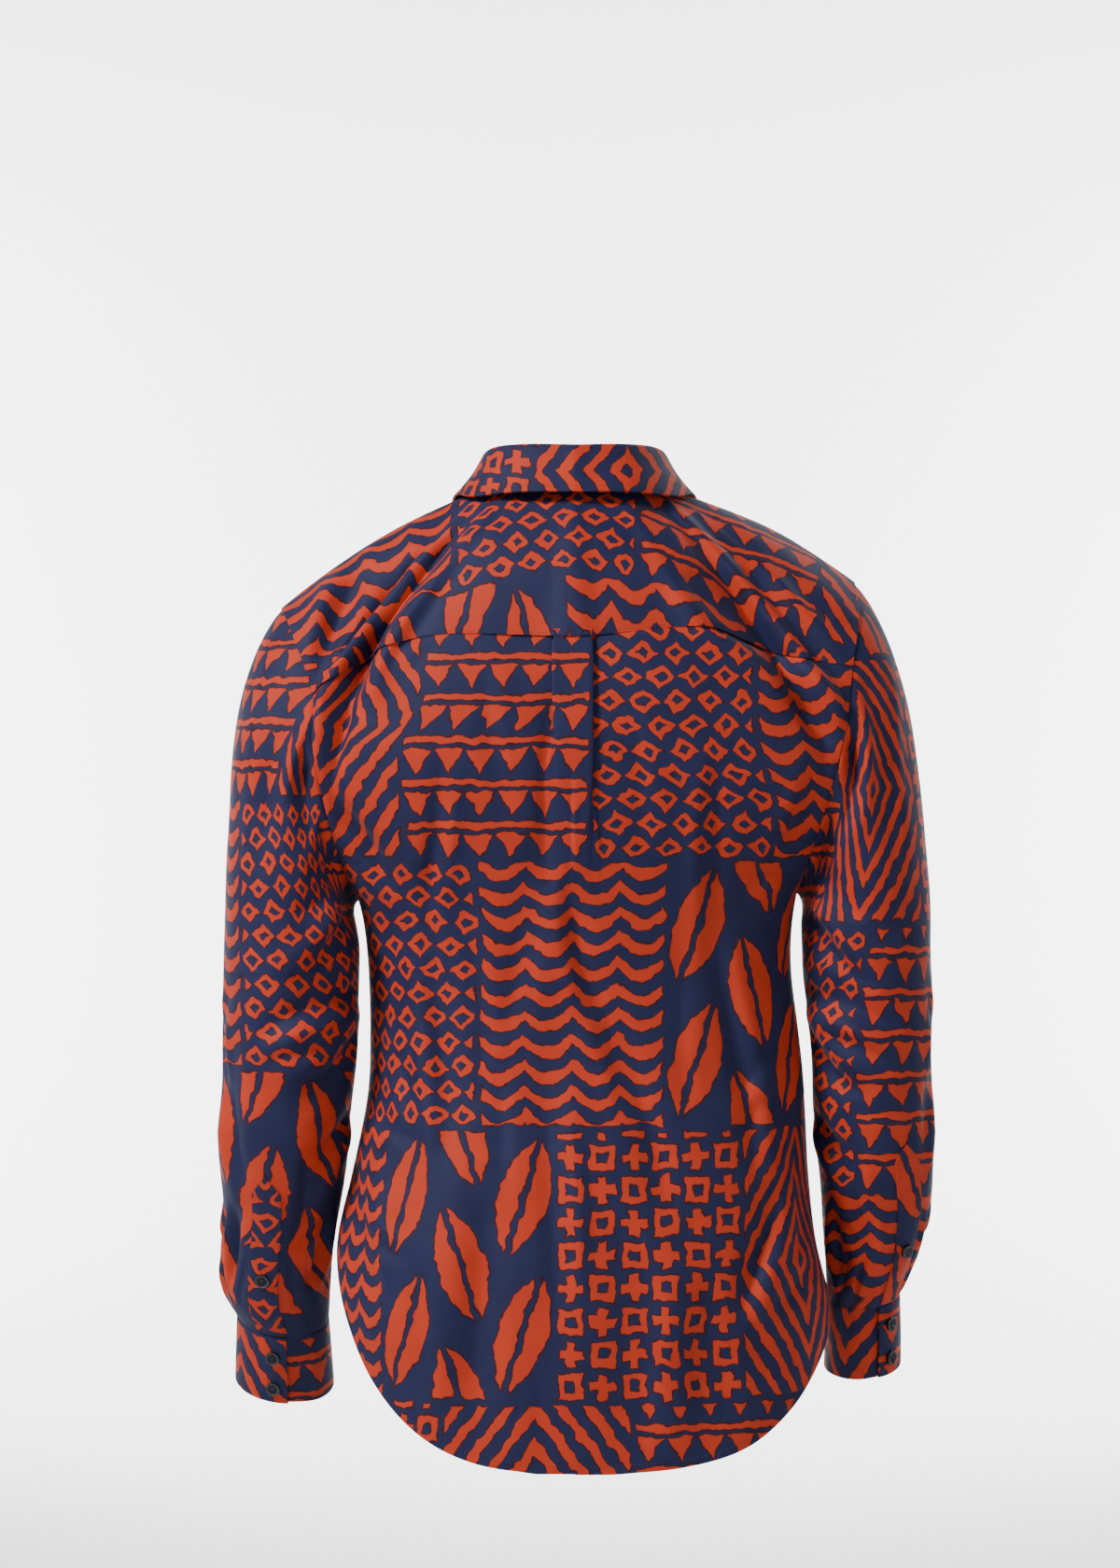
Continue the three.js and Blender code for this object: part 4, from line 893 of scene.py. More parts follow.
yoke_left, yoke_right = yoke_half("left"), yoke_half("right")
yoke_middle = (yoke_left[:, -1:] + yoke_right[:, -1:]) / 2
yoke_points = np.concatenate([yoke_left[:, :-1], yoke_middle, yoke_right[:, :-1][:, ::-1]], 1)
yoke_normals = facing_out(normals_of(yoke_points), np.array([0, 0.5, 0.8]))
yoke_points = yoke_points + yoke_normals * 0.3
across = yoke_points[..., 0] * 1.06 * MM
down = (yoke_points[..., 1] * 0.9 - yoke_points[..., 2] * 0.55) * MM
yoke = cut_cloth("shirt_yoke", yoke_points, across + YOKE_PRINT[0], down + YOKE_PRINT[1])
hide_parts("yoke")
rows_up = np.full(BACK_SAMPLES * 2 - 1, YOKE_ROWS - 1 - 2.0 / 2.3)
columns_back = np.arange(ARM_SAMPLES - 1, ARM_SAMPLES - 1 + BACK_SAMPLES * 2 - 1)
seam_back = line_on(yoke_points, yoke_normals, rows_up, columns_back)
front_rows = np.linspace(1, YOKE_ROWS - 1, 50)
seam_left = line_on(yoke_points, yoke_normals, front_rows, np.full(50, 0.45))
seam_right = line_on(yoke_points, yoke_normals, front_rows, np.full(50, yoke_points.shape[1] - 1.45))
runs = [seam_back, seam_left, seam_right]
for first in (0, yoke_points.shape[1] - ARM_SAMPLES):
    columns = np.arange(first, first + ARM_SAMPLES)
    runs.append(line_on(yoke_points, yoke_normals, np.full(ARM_SAMPLES, YOKE_ROWS - 1 - 2.7), columns))
sew("stitches_yoke", runs, CLOTH_THICK / 2)

# The fronts: a left one that laps over a right one at the centre, each cut in one piece. They are sewn to the
# yoke above and hang from there to the same shirt-tail hem.
FRONT_CREASES = [
    (194, -206, 128, -290, 12, 8),
    (-196, -206, -130, -280, -12, 8),
    (92, -70, 150, -190, -12, 6),
    (-92, -70, -150, -182, 12, 6),
    (70, -150, 64, -420, 13, 6),
    (-76, -170, -70, -460, -13, 6),
    (118, -300, 112, -600, -13, 7),
    (-122, -300, -114, -620, 13, 7),
    (160, -360, 150, -560, 11, 6),
    (-160, -370, -150, -580, -11, 6),
    (60, -470, 52, -730, 15, 7),
    (-66, -500, -60, -735, -15, 7),
    (104, -560, 98, -715, -14, 6),
    (-108, -540, -100, -710, 14, 6),
    # finer ones between them
    (178, -150, 116, -236, 7, 2.6),
    (-184, -146, -118, -228, -7, 2.6),
    (188, -232, 132, -330, -7, 2.6),
    (-190, -238, -134, -322, 7, 2.6),
    (40, -130, 22, -220, 8, 2.2),
    (-44, -150, -22, -224, 8, 2.2),
    (44, -290, 24, -380, 8, 2.0),
    (-46, -300, -22, -398, 8, 2.0),
    (92, -420, 86, -600, -9, 2.4),
    (-96, -430, -90, -620, 9, 2.4),
    (140, -480, 132, -640, 9, 2.4),
    (-142, -490, -136, -650, 9, 2.4),
    (40, -560, 24, -700, 9, 2.2),
    (-36, -580, -24, -710, -9, 2.0),
    (170, -560, 128, -606, 8, 2.4),
    (-172, -600, -130, -650, -8, 2.4),
]
PLACKET_HALF = 16
FRONT_LAP = 2.4
FRONT_TOP_FADE = 130
NECK_CORNER_W = 0.42
YOKE_CORNER_X = 66
STRIP_SAMPLES = 12
NECK_SAMPLES = 26
SEAM_SAMPLES = 46
FRONT_ROWS = 200
FRONT_ROW_PITCH = 3.5


def neck_share(x):
    """The neckline's share at a distance x from the centre front."""
    g = np.linspace(0.6, 1, 400)
    return float(np.interp(-abs(x), -half_line(NECKLINE, "left", g)[:, 0], g))


def front_grid(side):
    """Points of one front: first the part under the placket strip, then the rest out to the armhole."""
    v = np.linspace(0, 1, FRONT_ROWS)[:, None]
    x = np.linspace(-PLACKET_HALF, PLACKET_HALF, STRIP_SAMPLES) * SIGN[side]
    top = np.array([half_line(NECKLINE, "left", neck_share(a)) for a in x])
    top[:, 0] = x
    z = mix(top[:, 2], read(HEM, "front_" + side, 0.05), v)
    own = np.where(x > 0, 1, 0) * np.ones_like(z)

    def strip(height):
        left_half = panel("left", "front", width_at("left", "front", x, height), height)
        right_half = panel("right", "front", width_at("right", "front", x, height), height)
        p = np.where(own[..., None] > 0, left_half, right_half)
        p[..., 0] = x
        return p

    def blended(p, at_top, goal, height):
        fade = 1 - ease((goal[:, 2] - height) / FRONT_TOP_FADE)
        p[..., :2] += (goal[:, :2] - at_top[..., :2]) * fade[..., None]
        return p

    flat_part = blended(strip(z), strip(np.ones_like(z) * top[:, 2]), top, z)

    share = np.linspace(0, 1, NECK_SAMPLES + 1)[1:-1]
    g = mix(neck_share(PLACKET_HALF), NECK_FRONT_CORNER, share)
    neck_top, neck_w = half_line(NECKLINE, side, g), mix(0.07, NECK_CORNER_W, share)
    seam = (yoke_left if side == "left" else yoke_right)[:, 0]
    k = np.linspace(0, len(seam) - 1, SEAM_SAMPLES)
    seam_top = np.stack([np.interp(k, np.arange(len(seam)), seam[:, c]) for c in range(3)], -1)
    seam_w = mix(NECK_CORNER_W, 1, np.linspace(0, 1, SEAM_SAMPLES))
    top = np.concatenate([neck_top, seam_top])
    w = np.concatenate([neck_w, seam_w])[None, :]
    z2 = mix(top[:, 2], read(HEM, "front_" + side, w), v)
    top_line = panel(side, "front", w, np.ones_like(z2) * top[:, 2])
    p = np.concatenate([flat_part, blended(panel(side, "front", w, z2), top_line, top, z2)], 1)
    w_all = np.concatenate([np.zeros((1, STRIP_SAMPLES)), w], 1)
    edge = ease((1 - w_all) * EDGE_FADE) * ease((np.abs(p[..., 0]) - PLACKET_HALF) / 20) * (w_all > 0)
    depth = crease_at(FRONT_CREASES, p[..., 0], p[..., 2])
    depth = depth + ripple(p[..., 0], p[..., 2], seed=23, size=90, height=0.8)
    inner = p[..., 0] * SIGN[side]
    lap = FRONT_LAP * (1 - ease((inner - 18) / 34)) if side == "right" else 0
    out = np.stack(np.broadcast_arrays(SIGN[side] * w_all**3, -1.0, 0.0), -1)
    out = out / np.linalg.norm(out, axis=-1, keepdims=True)
    return p - out * (depth * edge * ease(v * 12) + lap)[..., None]


FRONT_PRINT = {"left": (0.071, 0.16), "right": (0.239, 0.02)}
fronts = {}
for side in ("left", "right"):
    points = front_grid(side)
    normal = facing_out(normals_of(points), np.array([0, -1, 0]))
    points, normal = tuck_under(points, normal, YOKE_CORNER_X)
    fronts[side] = (points, normal)
    across, down = flat_lengths(points, 5)
    down = np.interp(-points[..., 2], -points[:, 5, 2], down[:, 5])
    shift = FRONT_PRINT[side]
    front = cut_cloth("shirt_front_" + side, points, across * -SIGN[side] + shift[0], down + shift[1])
    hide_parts("front_" + side)
    hem_row = np.full(points.shape[1], points.shape[0] - 1 - HEM_DEEP / FRONT_ROW_PITCH)
    hem_line = line_on(points, normal, hem_row, np.arange(points.shape[1]))
    armhole_rows = np.linspace(6, 0.3 * FRONT_ROWS, 70)
    beside_armhole = line_on(points, normal, armhole_rows, np.full(70, points.shape[1] - 1 - 2.6))
    sew("stitches_front_" + side, [hem_line, beside_armhole], CLOTH_THICK / 2)

# The placket strip: a doubled band of the same cloth that lies on the left front's edge, from neck to hem. It
# is stitched down along both its long sides, and the front buttons close through it.
STRIP_CUT = (0.305, 0.08)
STRIP_STEP = 2 * PLACKET_HALF / (STRIP_SAMPLES - 1)
STRIP_TOP_ROW = 4
STRIP_OFF = CLOTH_THICK + 0.25

left_front, left_normal = fronts["left"]
strip_normal = left_normal[STRIP_TOP_ROW:, :STRIP_SAMPLES]
strip_points = left_front[STRIP_TOP_ROW:, :STRIP_SAMPLES] + strip_normal * STRIP_OFF
across, down = flat_lengths(strip_points, 0)
across = across + STRIP_CUT[0]
down = down + STRIP_CUT[1]
placket = cut_cloth("front_placket_strip", strip_points, across, down, thick=0.9, edge=0.3)
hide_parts("front_placket")
strip_rows = np.linspace(1, len(strip_points) - 2, 260)
runs = [line_on(strip_points, strip_normal, strip_rows, inset / STRIP_STEP) for inset in (5, 27)]
sew("stitches_front_placket", runs, 0.45)

# The sleeves: each one piece, set into its armhole, with the slack of the cloth lying in creases round the
# elbow and bagging a little over the cuff, where it is gathered in.
SLEEVE = {
    "left": [
        (0, 233, -87, 171, -317, 0, 84, 0),
        (1, 247, -109, 175, -321, 1, 84, 0),
        (2, 259, -140, 176, -327, 3, 81, 0),
        (3, 267, -172, 175, -333, 5, 78, 0),
        (4, 272, -215, 173, -342, 8, 74, 0),
        (5, 275, -270, 171, -356, 11, 70, 0),
        (6, 277, -330, 171, -378, 14, 66, 0),
        (7, 278, -392, 172, -410, 15, 61, 3),
        (8, 279, -452, 174, -455, 11, 57, 8),
        (9, 283, -500, 179, -502, 3, 54, 13),
        (10, 280, -556, 186, -556, -14, 50, 18),
        (11, 284, -602, 193, -600, -28, 47, 21),
        (12, 281, -629, 196, -629, -36, 43, 23),
        (13, 270, -649, 198, -655, -42, 36, 24),
    ],
    "right": [
        (0, -222, -66, -175, -311, 0, 84, 0),
        (1, -236, -86, -179, -315, 1, 84, 0),
        (2, -250, -115, -181, -321, 3, 81, 0),
        (3, -260, -149, -181, -328, 5, 78, 0),
        (4, -269, -197, -180, -337, 7, 74, 0),
        (5, -277, -257, -180, -352, 9, 70, 0),
        (6, -281, -326, -181, -376, 10, 66, 0),
        (7, -283, -392, -185, -408, 9, 61, 2),
        (8, -284, -453, -188, -456, 4, 57, 4),
        (9, -285, -509, -192, -511, -5, 53, 7),
        (10, -284, -556, -197, -556, -17, 51, 9),
        (11, -276, -592, -200, -594, -28, 50, 11),
        (12, -267, -614, -202, -617, -35, 47, 11),
        (13, -260, -633, -203, -637, -40, 43, 11),
    ],
}
SLEEVE_COLUMNS = ["row", "out_x", "out_z", "in_x", "in_z", "mid_y", "deep", "lean"]
SLEEVE_TABLE = {side: {"columns": SLEEVE_COLUMNS, "rows": rows} for side, rows in SLEEVE.items()}
# here a crease's points are (degrees round, z, degrees round, z)
SLEEVE_CREASES = [
    (80, -124, 114, -270, 10, 11),
    (116, -150, 152, -296, -11, 10),
    (56, -110, 66, -300, 10, 5),
    (150, -262, 96, -336, -10, 8),
    (172, -330, 84, -384, 11, 9),
    (182, -386, 60, -420, -11, 9),
    (176, -430, 90, -470, 11, 8),
    (180, -480, 120, -540, -10, 7),
    (28, -430, 64, -560, 12, 6),
    (6, -400, 20, -500, -11, 5),
    (120, -520, 96, -604, 10, 6),
    (46, -560, 34, -628, 8, 7),
    (150, -560, 128, -628, -8, 7),
    (12, -560, 4, -620, 8, 7),
    (240, -200, 290, -330, 13, 7),
    (210, -300, 290, -390, -13, 7),
    (190, -390, 310, -430, 12, 8),
    (200, -470, 300, -540, -12, 7),
    (230, -560, 280, -620, 10, 6),
    (330, -300, 340, -520, 13, 5),
    (320, -560, 350, -620, 9, 6),
]
SLEEVE_FINE_CREASES = [
    (40, -120, 56, -220, 6, 2.4),
    (100, -160, 92, -250, -6, 2.6),
    (134, -240, 110, -310, 6, 2.6),
    (160, -320, 110, -362, 6, 2.8),
    (166, -362, 96, -402, -6, 2.6),
    (150, -420, 60, -450, 6, 2.8),
    (120, -480, 40, -500, -6, 2.4),
    (150, -500, 100, -530, 6, 2.6),
    (30, -380, 10, -460, 7, 2.2),
    (140, -560, 112, -600, 5, 2.6),
    (62, -590, 52, -640, 4, 2.6),
    (104, -590, 110, -642, 4, 2.8),
    (124, -590, 138, -642, -4, 2.8),
    (30, -590, 22, -640, 4, 2.8),
    (14, -596, 2, -640, -4, 2.6),
    (166, -590, 172, -645, 5, 2.6),
    (250, -250, 300, -300, 7, 2.4),
    (220, -350, 300, -372, 7, 2.6),
    (210, -430, 290, -466, -7, 2.6),
    (216, -520, 290, -560, 6, 2.6),
    (300, -600, 310, -640, 5, 2.4),
    (260, -600, 256, -642, 5, 2.4),
    (340, -180, 350, -300, 8, 2.0),
]
CAP_ROWS = 4
CAP_SINK = 1.1
CAP_TUCK = 4
CUFF_ROW = 13
SLEEVE_ROUND = 132
SLEEVE_DOWN = 190
PLACKET_TURN = {"left": (77, 81), "right": (62, 50)}


def sleeve_ellipse(side, row, angle):
    """A point of a sleeve's oval sections; angle 0 is outermost and a quarter turn on is behind."""
    s = {name: read(SLEEVE_TABLE[side], name, row) for name in SLEEVE_COLUMNS[1:]}
    lean = np.radians(s["lean"])
    out, rear = np.cos(angle), np.sin(angle)
    x = mix(s["in_x"], s["out_x"], (1 + out) / 2)
    z = mix(s["in_z"], s["out_z"], (1 + out) / 2) - s["deep"] * np.sin(lean) * rear
    return np.stack(np.broadcast_arrays(x, s["mid_y"] + s["deep"] * np.cos(lean) * rear, z), -1)


def sleeve_plain(side, row, angle):
    """The same, with the sleeve's top rows drawn onto the armhole."""
    row, angle = np.broadcast_arrays(np.asarray(row, float), np.asarray(angle, float))
    p = sleeve_ellipse(side, row, angle)
    loop = curve(ARMHOLE[side], (angle / (2 * math.pi) * ARMHOLE_KEYS) % ARMHOLE_KEYS, closed=True)
    keep = (1 - ease(row / CAP_ROWS))[..., None]
    return p + (loop - sleeve_ellipse(side, np.zeros_like(row), angle)) * keep


def sleeve_creased(side, row, angle):
    """The same with its creases, which leave the placket strip's place smooth."""
    p = sleeve_plain(side, row, angle)
    heart = sleeve_plain(side, row, angle + math.pi)
    degrees = np.degrees(angle) % 360 * np.ones(p.shape[:-1])
    top, cuff = PLACKET_TURN[side]
    aside = (degrees - (top + cuff) / 2) / 24
    off_placket = 1 - np.exp(-(aside**4)) * ease((row - 7.5) / 1.2)
    fade = ease(row / 1.2) * ease((CUFF_ROW - row) / 0.8) * off_placket
    depth = crease_at(SLEEVE_CREASES, degrees, p[..., 2]) * fade
    near = ease(row / 1.0) * ease((CUFF_ROW + 0.1 - row) / 0.5) * off_placket
    depth = depth + crease_at(SLEEVE_FINE_CREASES, degrees, p[..., 2]) * near
    swell = ripple(p[..., 1] * 1.2, p[..., 2] * 1.6, seed=31 + SIGN[side], size=80, height=0.7)
    depth = depth + swell * near
    inward = heart - p
    inward /= np.maximum(np.linalg.norm(inward, axis=-1, keepdims=True), 1e-6)
    return p + inward * depth[..., None]


SLEEVE_PRINT = {"left": (0.021, 0.05), "right": (0.387, 0.14)}
for side in ("left", "right"):
    angle = np.linspace(0, 2 * math.pi, SLEEVE_ROUND + 1)[None, :] - math.pi
    row = np.linspace(0, CUFF_ROW, SLEEVE_DOWN)[:, None]
    points = sleeve_creased(side, row * np.ones_like(angle), angle * np.ones_like(row))
    inside = sleeve_plain(side, row + 0 * angle, angle + math.pi + 0 * row) - points
    inside /= np.linalg.norm(inside, axis=-1, keepdims=True)
    sink = (1 - ease(np.arange(SLEEVE_DOWN) / 5))[:, None, None] * CAP_SINK
    points = points + inside * sink
    back_in = points[:1] - points[2:3]
    back_in *= CAP_TUCK / np.linalg.norm(back_in, axis=-1, keepdims=True)
    points = np.concatenate([points[:1] + back_in + inside[:1] * 0.7, points], 0)
    points[:, -1] = points[:, 0]
    across, down = flat_lengths(points, SLEEVE_ROUND // 2)
    down = np.interp(-points[..., 2], -points[:, SLEEVE_ROUND // 2, 2], down[:, SLEEVE_ROUND // 2])
    shift = SLEEVE_PRINT[side]
    across = across * -SIGN[side] + shift[0]
    sleeve = cut_cloth("shirt_sleeve_" + side, points, across, down + shift[1], tube=True)
    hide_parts("sleeve_" + side)

# Sleeve plackets: a pointed strip of folded cloth on each sleeve, over the slit above its cuff. It is sewn
# down along both sides and once across, and closes with one button.
PLACKET_WIDE = 24
PLACKET_LONG = 131
PLACKET_TIP = 14
PLACKET_BUTTON = {"left": 0.64, "right": 0.66}
STRIP_LIFT = CLOTH_THICK + 0.35
STRIP_PRINT = {"left": (0.137, 0.03), "right": (0.390, 0.03)}
HOLE_LONG = 14
HOLE_WIDE = 2
HOLE_SHIFT = 4
HOLE_PITCH = 2.25
BUTTON_GAP = 0.3


def sleeve_strip(side, across, down):
    """Places and normals of the strip: across from -1 to 1, down from the tip (0) to the cuff (1)."""
    top, cuff = PLACKET_TURN[side]
    cuff_z = sleeve_plain(side, CUFF_ROW, math.radians(cuff))[2]
    middle = mix(top, cuff, down)
    rows = np.linspace(7, CUFF_ROW, 300)
    heights = sleeve_plain(side, rows, np.radians((top + cuff) / 2) * np.ones(300))[:, 2]
    goal = mix(cuff_z + PLACKET_LONG, cuff_z, down)
    row = np.minimum(np.interp(-goal, -heights, rows), CUFF_ROW - 0.03)
    table = SLEEVE_TABLE[side]
    half = np.abs(read(table, "out_x", row) - read(table, "in_x", row)) / 2
    round_ = math.pi * np.hypot(half, read(table, "deep", row)) * math.sqrt(2)
    narrow = np.minimum(1, 0.02 + down * PLACKET_LONG / PLACKET_TIP)
    angle = np.radians(middle + across * narrow * PLACKET_WIDE * 180 / round_)
    p = sleeve_creased(side, row, angle)
    aside = sleeve_creased(side, row, angle + 0.05) - sleeve_creased(side, row, angle - 0.05)
    below = sleeve_creased(side, np.minimum(row + 0.06, CUFF_ROW), angle)
    along = below - sleeve_creased(side, row - 0.06, angle)
    normal = np.cross(aside, along)
    normal /= np.linalg.norm(normal, axis=-1, keepdims=True)
    return p, normal * np.where(normal[..., 1:2] < 0, -1, 1)


def strip_face(side):
    """Places on the strip's face and ways out of it, along it from its button and across it."""
    def surface(along, across):
        down = PLACKET_BUTTON[side] + along / PLACKET_LONG
        place, out = sleeve_strip(side, across / PLACKET_WIDE * 2, down)
        return place + out * STRIP_LIFT, out

    return surface


def buttonhole(surface):
    """The line that the stitches round a buttonhole follow, on a face given as strip_face gives it."""
    turn = np.linspace(0, 2 * math.pi, 80)
    along, across = [np.sign(k) * np.abs(k) ** 0.5 for k in (np.cos(turn), np.sin(turn))]
    return surface(HOLE_SHIFT + along * HOLE_LONG / 2, across * HOLE_WIDE / 2)


button_places = []
for side in ("left", "right"):
    down_share = np.concatenate([np.linspace(0, 0.11, 12)[:-1], np.linspace(0.11, 0.985, 50)])[:, None]
    across_share = np.linspace(-1, 1, 15)[None, :]
    base, normal = sleeve_strip(side, across_share + 0 * down_share, down_share + 0 * across_share)
    points = base + normal * STRIP_LIFT
    across, down = flat_lengths(points, 7)
    shift = STRIP_PRINT[side]
    across = across + shift[0]
    strip = cut_cloth("sleeve_placket_strip_" + side, points, across, down + shift[1], thick=1.0, edge=0.3)
    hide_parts("sleeve_placket_" + side)
    runs = []
    down_line = np.linspace(0.03, 0.97, 120)
    for edge in (-0.84, 0.84):
        base, normal = sleeve_strip(side, np.full(120, edge), down_line)
        runs.append((base + normal * STRIP_LIFT, normal))
    base, normal = sleeve_strip(side, np.linspace(-0.8, 0.8, 20), np.full(20, 0.37))
    runs.append((base + normal * STRIP_LIFT, normal))
    sew("stitches_sleeve_placket_" + side, runs, 0.5)
    sew("buttonhole_sleeve_" + side, [buttonhole(strip_face(side))], 0.5, HOLE_PITCH)
    base, normal = sleeve_strip(side, np.array([0.0]), np.array([PLACKET_BUTTON[side]]))
    button_places.append(("button_sleeve_" + side, base[0] + normal[0] * (CLOTH_THICK + 0.85), normal[0]))

# Cuffs: doubled bands with interlining that lap over themselves at the back of the wrist, each closed with
# two buttons. The sleeve's gathered end is sewn into the top of each, and each is edge-stitched all round.
CUFF = {
    "left": {
        "long": 60, "half_wide": 39, "half_deep": 37.5,
        "flap": 97, "lap": 44, "turn": 80, "drops": (0.32, 0.78),
    },
    "right": {
        "long": 58, "half_wide": 30, "half_deep": 43.5,
        "flap": 70, "lap": 44, "turn": 50, "drops": (0.28, 0.76),
    },
}
CUFF_THICK = 1.9
CUFF_AROUND = 170
CUFF_ROWS = 22
CUFF_PRINT = {"left": (0.70, 0.0), "right": (0.95, 0.11)}


def cuff_point(side, angle, down, layer):
    """A point of a cuff: down runs from 0 at the sleeve to 1, and layer is how far out it lies."""
    size = CUFF[side]
    _, out_x, out_z, in_x, in_z, mid_y, deep, lean = SLEEVE[side][-1]
    lean = math.radians(lean)
    wide = mix(abs(out_x - in_x) / 2, size["half_wide"], down) + layer
    deep = mix(deep, size["half_deep"], down) + layer
    along = 0.1 + down * size["long"]
    x = SIGN[side] * wide * np.cos(angle)
    slope = (out_z - in_z) / (out_x - in_x)
    return np.stack([
        (out_x + in_x) / 2 + x,
        mid_y + deep * math.cos(lean) * np.sin(angle) - math.sin(lean) * along,
        (out_z + in_z) / 2 + slope * x - deep * math.sin(lean) * np.sin(angle) - math.cos(lean) * along,
    ], -1)


def cuff_face(side, drop):
    """Places on a cuff's face and ways out of it, round it from a button and across it."""
    size = CUFF[side]

    def surface(along, across):
        at = math.radians(size["turn"]) - along / size["half_deep"]
        down = drop + across / size["long"]
        beside = cuff_point(side, at + 0.05, down, 0.3) - cuff_point(side, at - 0.05, down, 0.3)
        below = cuff_point(side, at, down + 0.05, 0.3) - cuff_point(side, at, down - 0.05, 0.3)
        out = np.cross(beside, below)
        out /= np.linalg.norm(out, axis=-1, keepdims=True)
        return cuff_point(side, at, down, 0.3), out * np.sign(np.sum(out[..., 1]))

    return surface


for side in ("left", "right"):
    size = CUFF[side]
    turned = np.linspace(0, 360 + size["lap"], CUFF_AROUND)[None, :]
    down_share = np.linspace(0, 1, CUFF_ROWS)[:, None]
    angle = np.radians(size["flap"] - turned) + 0 * down_share
    under = -ease((turned - 318) / 38) * 2.9 + 0 * down_share
    rolled = 0.35 * np.sin(math.pi * down_share) + 0.25 * np.sin(turned / 23) * np.sin(math.pi * down_share)
    points = cuff_point(side, angle, down_share + 0 * turned, under + rolled)
    across, down = flat_lengths(points, 0)
    shift = CUFF_PRINT[side]
    across = across * SIGN[side] + shift[0]
    cuff = cut_cloth("shirt_cuff_" + side, points, across, down + shift[1], thick=CUFF_THICK, edge=0.5)
    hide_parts("cuff_" + side)
    normal = facing_out(normals_of(points), points - points.mean((0, 1)))
    count = 200
    inset = 5 * (CUFF_ROWS - 1) / size["long"]
    visible = np.linspace(1.6, CUFF_AROUND * 340 / (360 + size["lap"]), count)
    per_millimetre = (CUFF_AROUND - 1) / (math.pi * 2 * 38 * (360 + size["lap"]) / 360)
    upright = np.linspace(inset * 0.6, CUFF_ROWS - 1 - inset, 60)
    runs = [
        line_on(points, normal, np.full(count, CUFF_ROWS - 1 - inset), visible),
        line_on(points, normal, np.full(count, inset * 0.6), visible),
        line_on(points, normal, upright, np.full(60, 5 * per_millimetre)),
    ]
    sew("stitches_cuff_" + side, runs, CUFF_THICK / 2)
    holes = [buttonhole(cuff_face(side, drop)) for drop in size["drops"]]
    sew("buttonholes_cuff_" + side, holes, CUFF_THICK / 2, HOLE_PITCH)
    for k, drop in enumerate(size["drops"]):
        place, out = cuff_face(side, drop)(np.zeros(1), np.zeros(1))
        place = place[0] + out[0] * (CUFF_THICK / 2 + BUTTON_GAP)
        button_places.append((f"button_cuff_{side}_{k + 1}", place, out[0]))

# The collar: a stand round the neck, its left end over its right, and a leaf that rolls over the top of the
# stand and falls to two points in front. Both are two layers with interlining, edge-stitched.
STAND_TOP = [
    (0, 49, 36), (38, 40, 37), (62, 15, 36), (69, -13, 30),
    (63, -37, 14), (46, -54, -9), (22, -63, -28), (0, -65, -34),
]
LEAF_EDGE = [
    (0, 72, 2), (45, 64, 2), (80, 37, 0), (95, 3, 2.4), (97, -42, -17), (84, -67, -57), (58, -95, -105),
]
# the leaf's section from the stand's top to its own edge: share of the way, distance out and distance up
LEAF_PROFILE = [
    (0, 0, 1.6), (0, 1.1, 3.1), (0.02, 2.6, 3.2), (0.1, 3.5, 1.9),
    (0.4, 2.6, 0.6), (0.7, 1.2, 0.4), (1, 0, 0),
]
LEAF_END = 0.965
STAND_LAP = 3.2
STAND_END = 14
COLLAR_THICK = 2.0
COLLAR_AROUND = 120
STAND_ROWS = 12
LEAF_ROWS = 34
LEAF_STITCH_IN = 5
STAND_PRINT = (0.33, 0.4)
LEAF_PRINT = (0.46, 0.29)

end_g = 2 - neck_share(STAND_END)
g_left = np.concatenate([np.linspace(end_g, 1, 12)[:-1], np.linspace(1, 0, COLLAR_AROUND)])
points = []
for side, g in (("left", g_left), ("right", g_left[:-1][::-1])):
    low = half_line(NECKLINE, side, g)
    low[:, 2] += 0.4
    high = half_line(STAND_TOP, side, g)
    shorter = 1 - 0.2 * ease((g - 1) / (end_g - 1)) ** 0.7
    t = np.linspace(0, 1, STAND_ROWS)[:, None, None] * shorter[None, :, None]
    p = low[None] * (1 - t) + high[None] * t
    if side == "right":
        p[..., 1] += STAND_LAP * ease((g - 0.84) / 0.14)
    points.append(p)
points = np.concatenate(points, 1)
across, down = flat_lengths(points, len(g_left) - 1)
across = across + STAND_PRINT[0]
down = down + STAND_PRINT[1]
stand = cut_cloth("collar_stand_band", points, across, down, thick=COLLAR_THICK, edge=0.5)
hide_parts("collar_stand")

g_leaf = np.linspace(LEAF_END, 0, COLLAR_AROUND + 10)
profile = curve(LEAF_PROFILE, np.linspace(0, len(LEAF_PROFILE) - 1, LEAF_ROWS))
points = []
for side, g in (("left", g_leaf), ("right", g_leaf[:-1][::-1])):
    top = half_line(STAND_TOP, side, g)
    edge = curve(LEAF_EDGE, g / LEAF_END * (len(LEAF_EDGE) - 1))
    edge[:, 0] *= SIGN[side]
    outward = np.stack([top[:, 0], top[:, 1] + 8, np.zeros(len(g))], -1)
    outward /= np.linalg.norm(outward, axis=-1, keepdims=True)
    t = profile[:, 0][:, None, None]
    p = top[None] * (1 - t) + edge[None] * t + outward[None] * profile[:, 1][:, None, None]
    p[..., 2] += profile[:, 2][:, None]
    if side == "right":
        p[..., 1] += STAND_LAP * ease((g - 0.84) / 0.14)[None, :] * (1 - t[..., 0])
    points.append(p)
points = np.concatenate(points, 1)
across, down = flat_lengths(points, len(g_leaf) - 1)
across = across + LEAF_PRINT[0]
down = down + LEAF_PRINT[1]
leaf = cut_cloth("collar_leaf_band", points, across, down, thick=COLLAR_THICK, edge=0.5)
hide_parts("collar_leaf")
normal = normals_of(points)
if normal[25, len(g_leaf) - 1, 1] < 0:
    normal = -normal
below_top = np.cumsum(np.linalg.norm(np.diff(points, axis=0), axis=-1), 0)
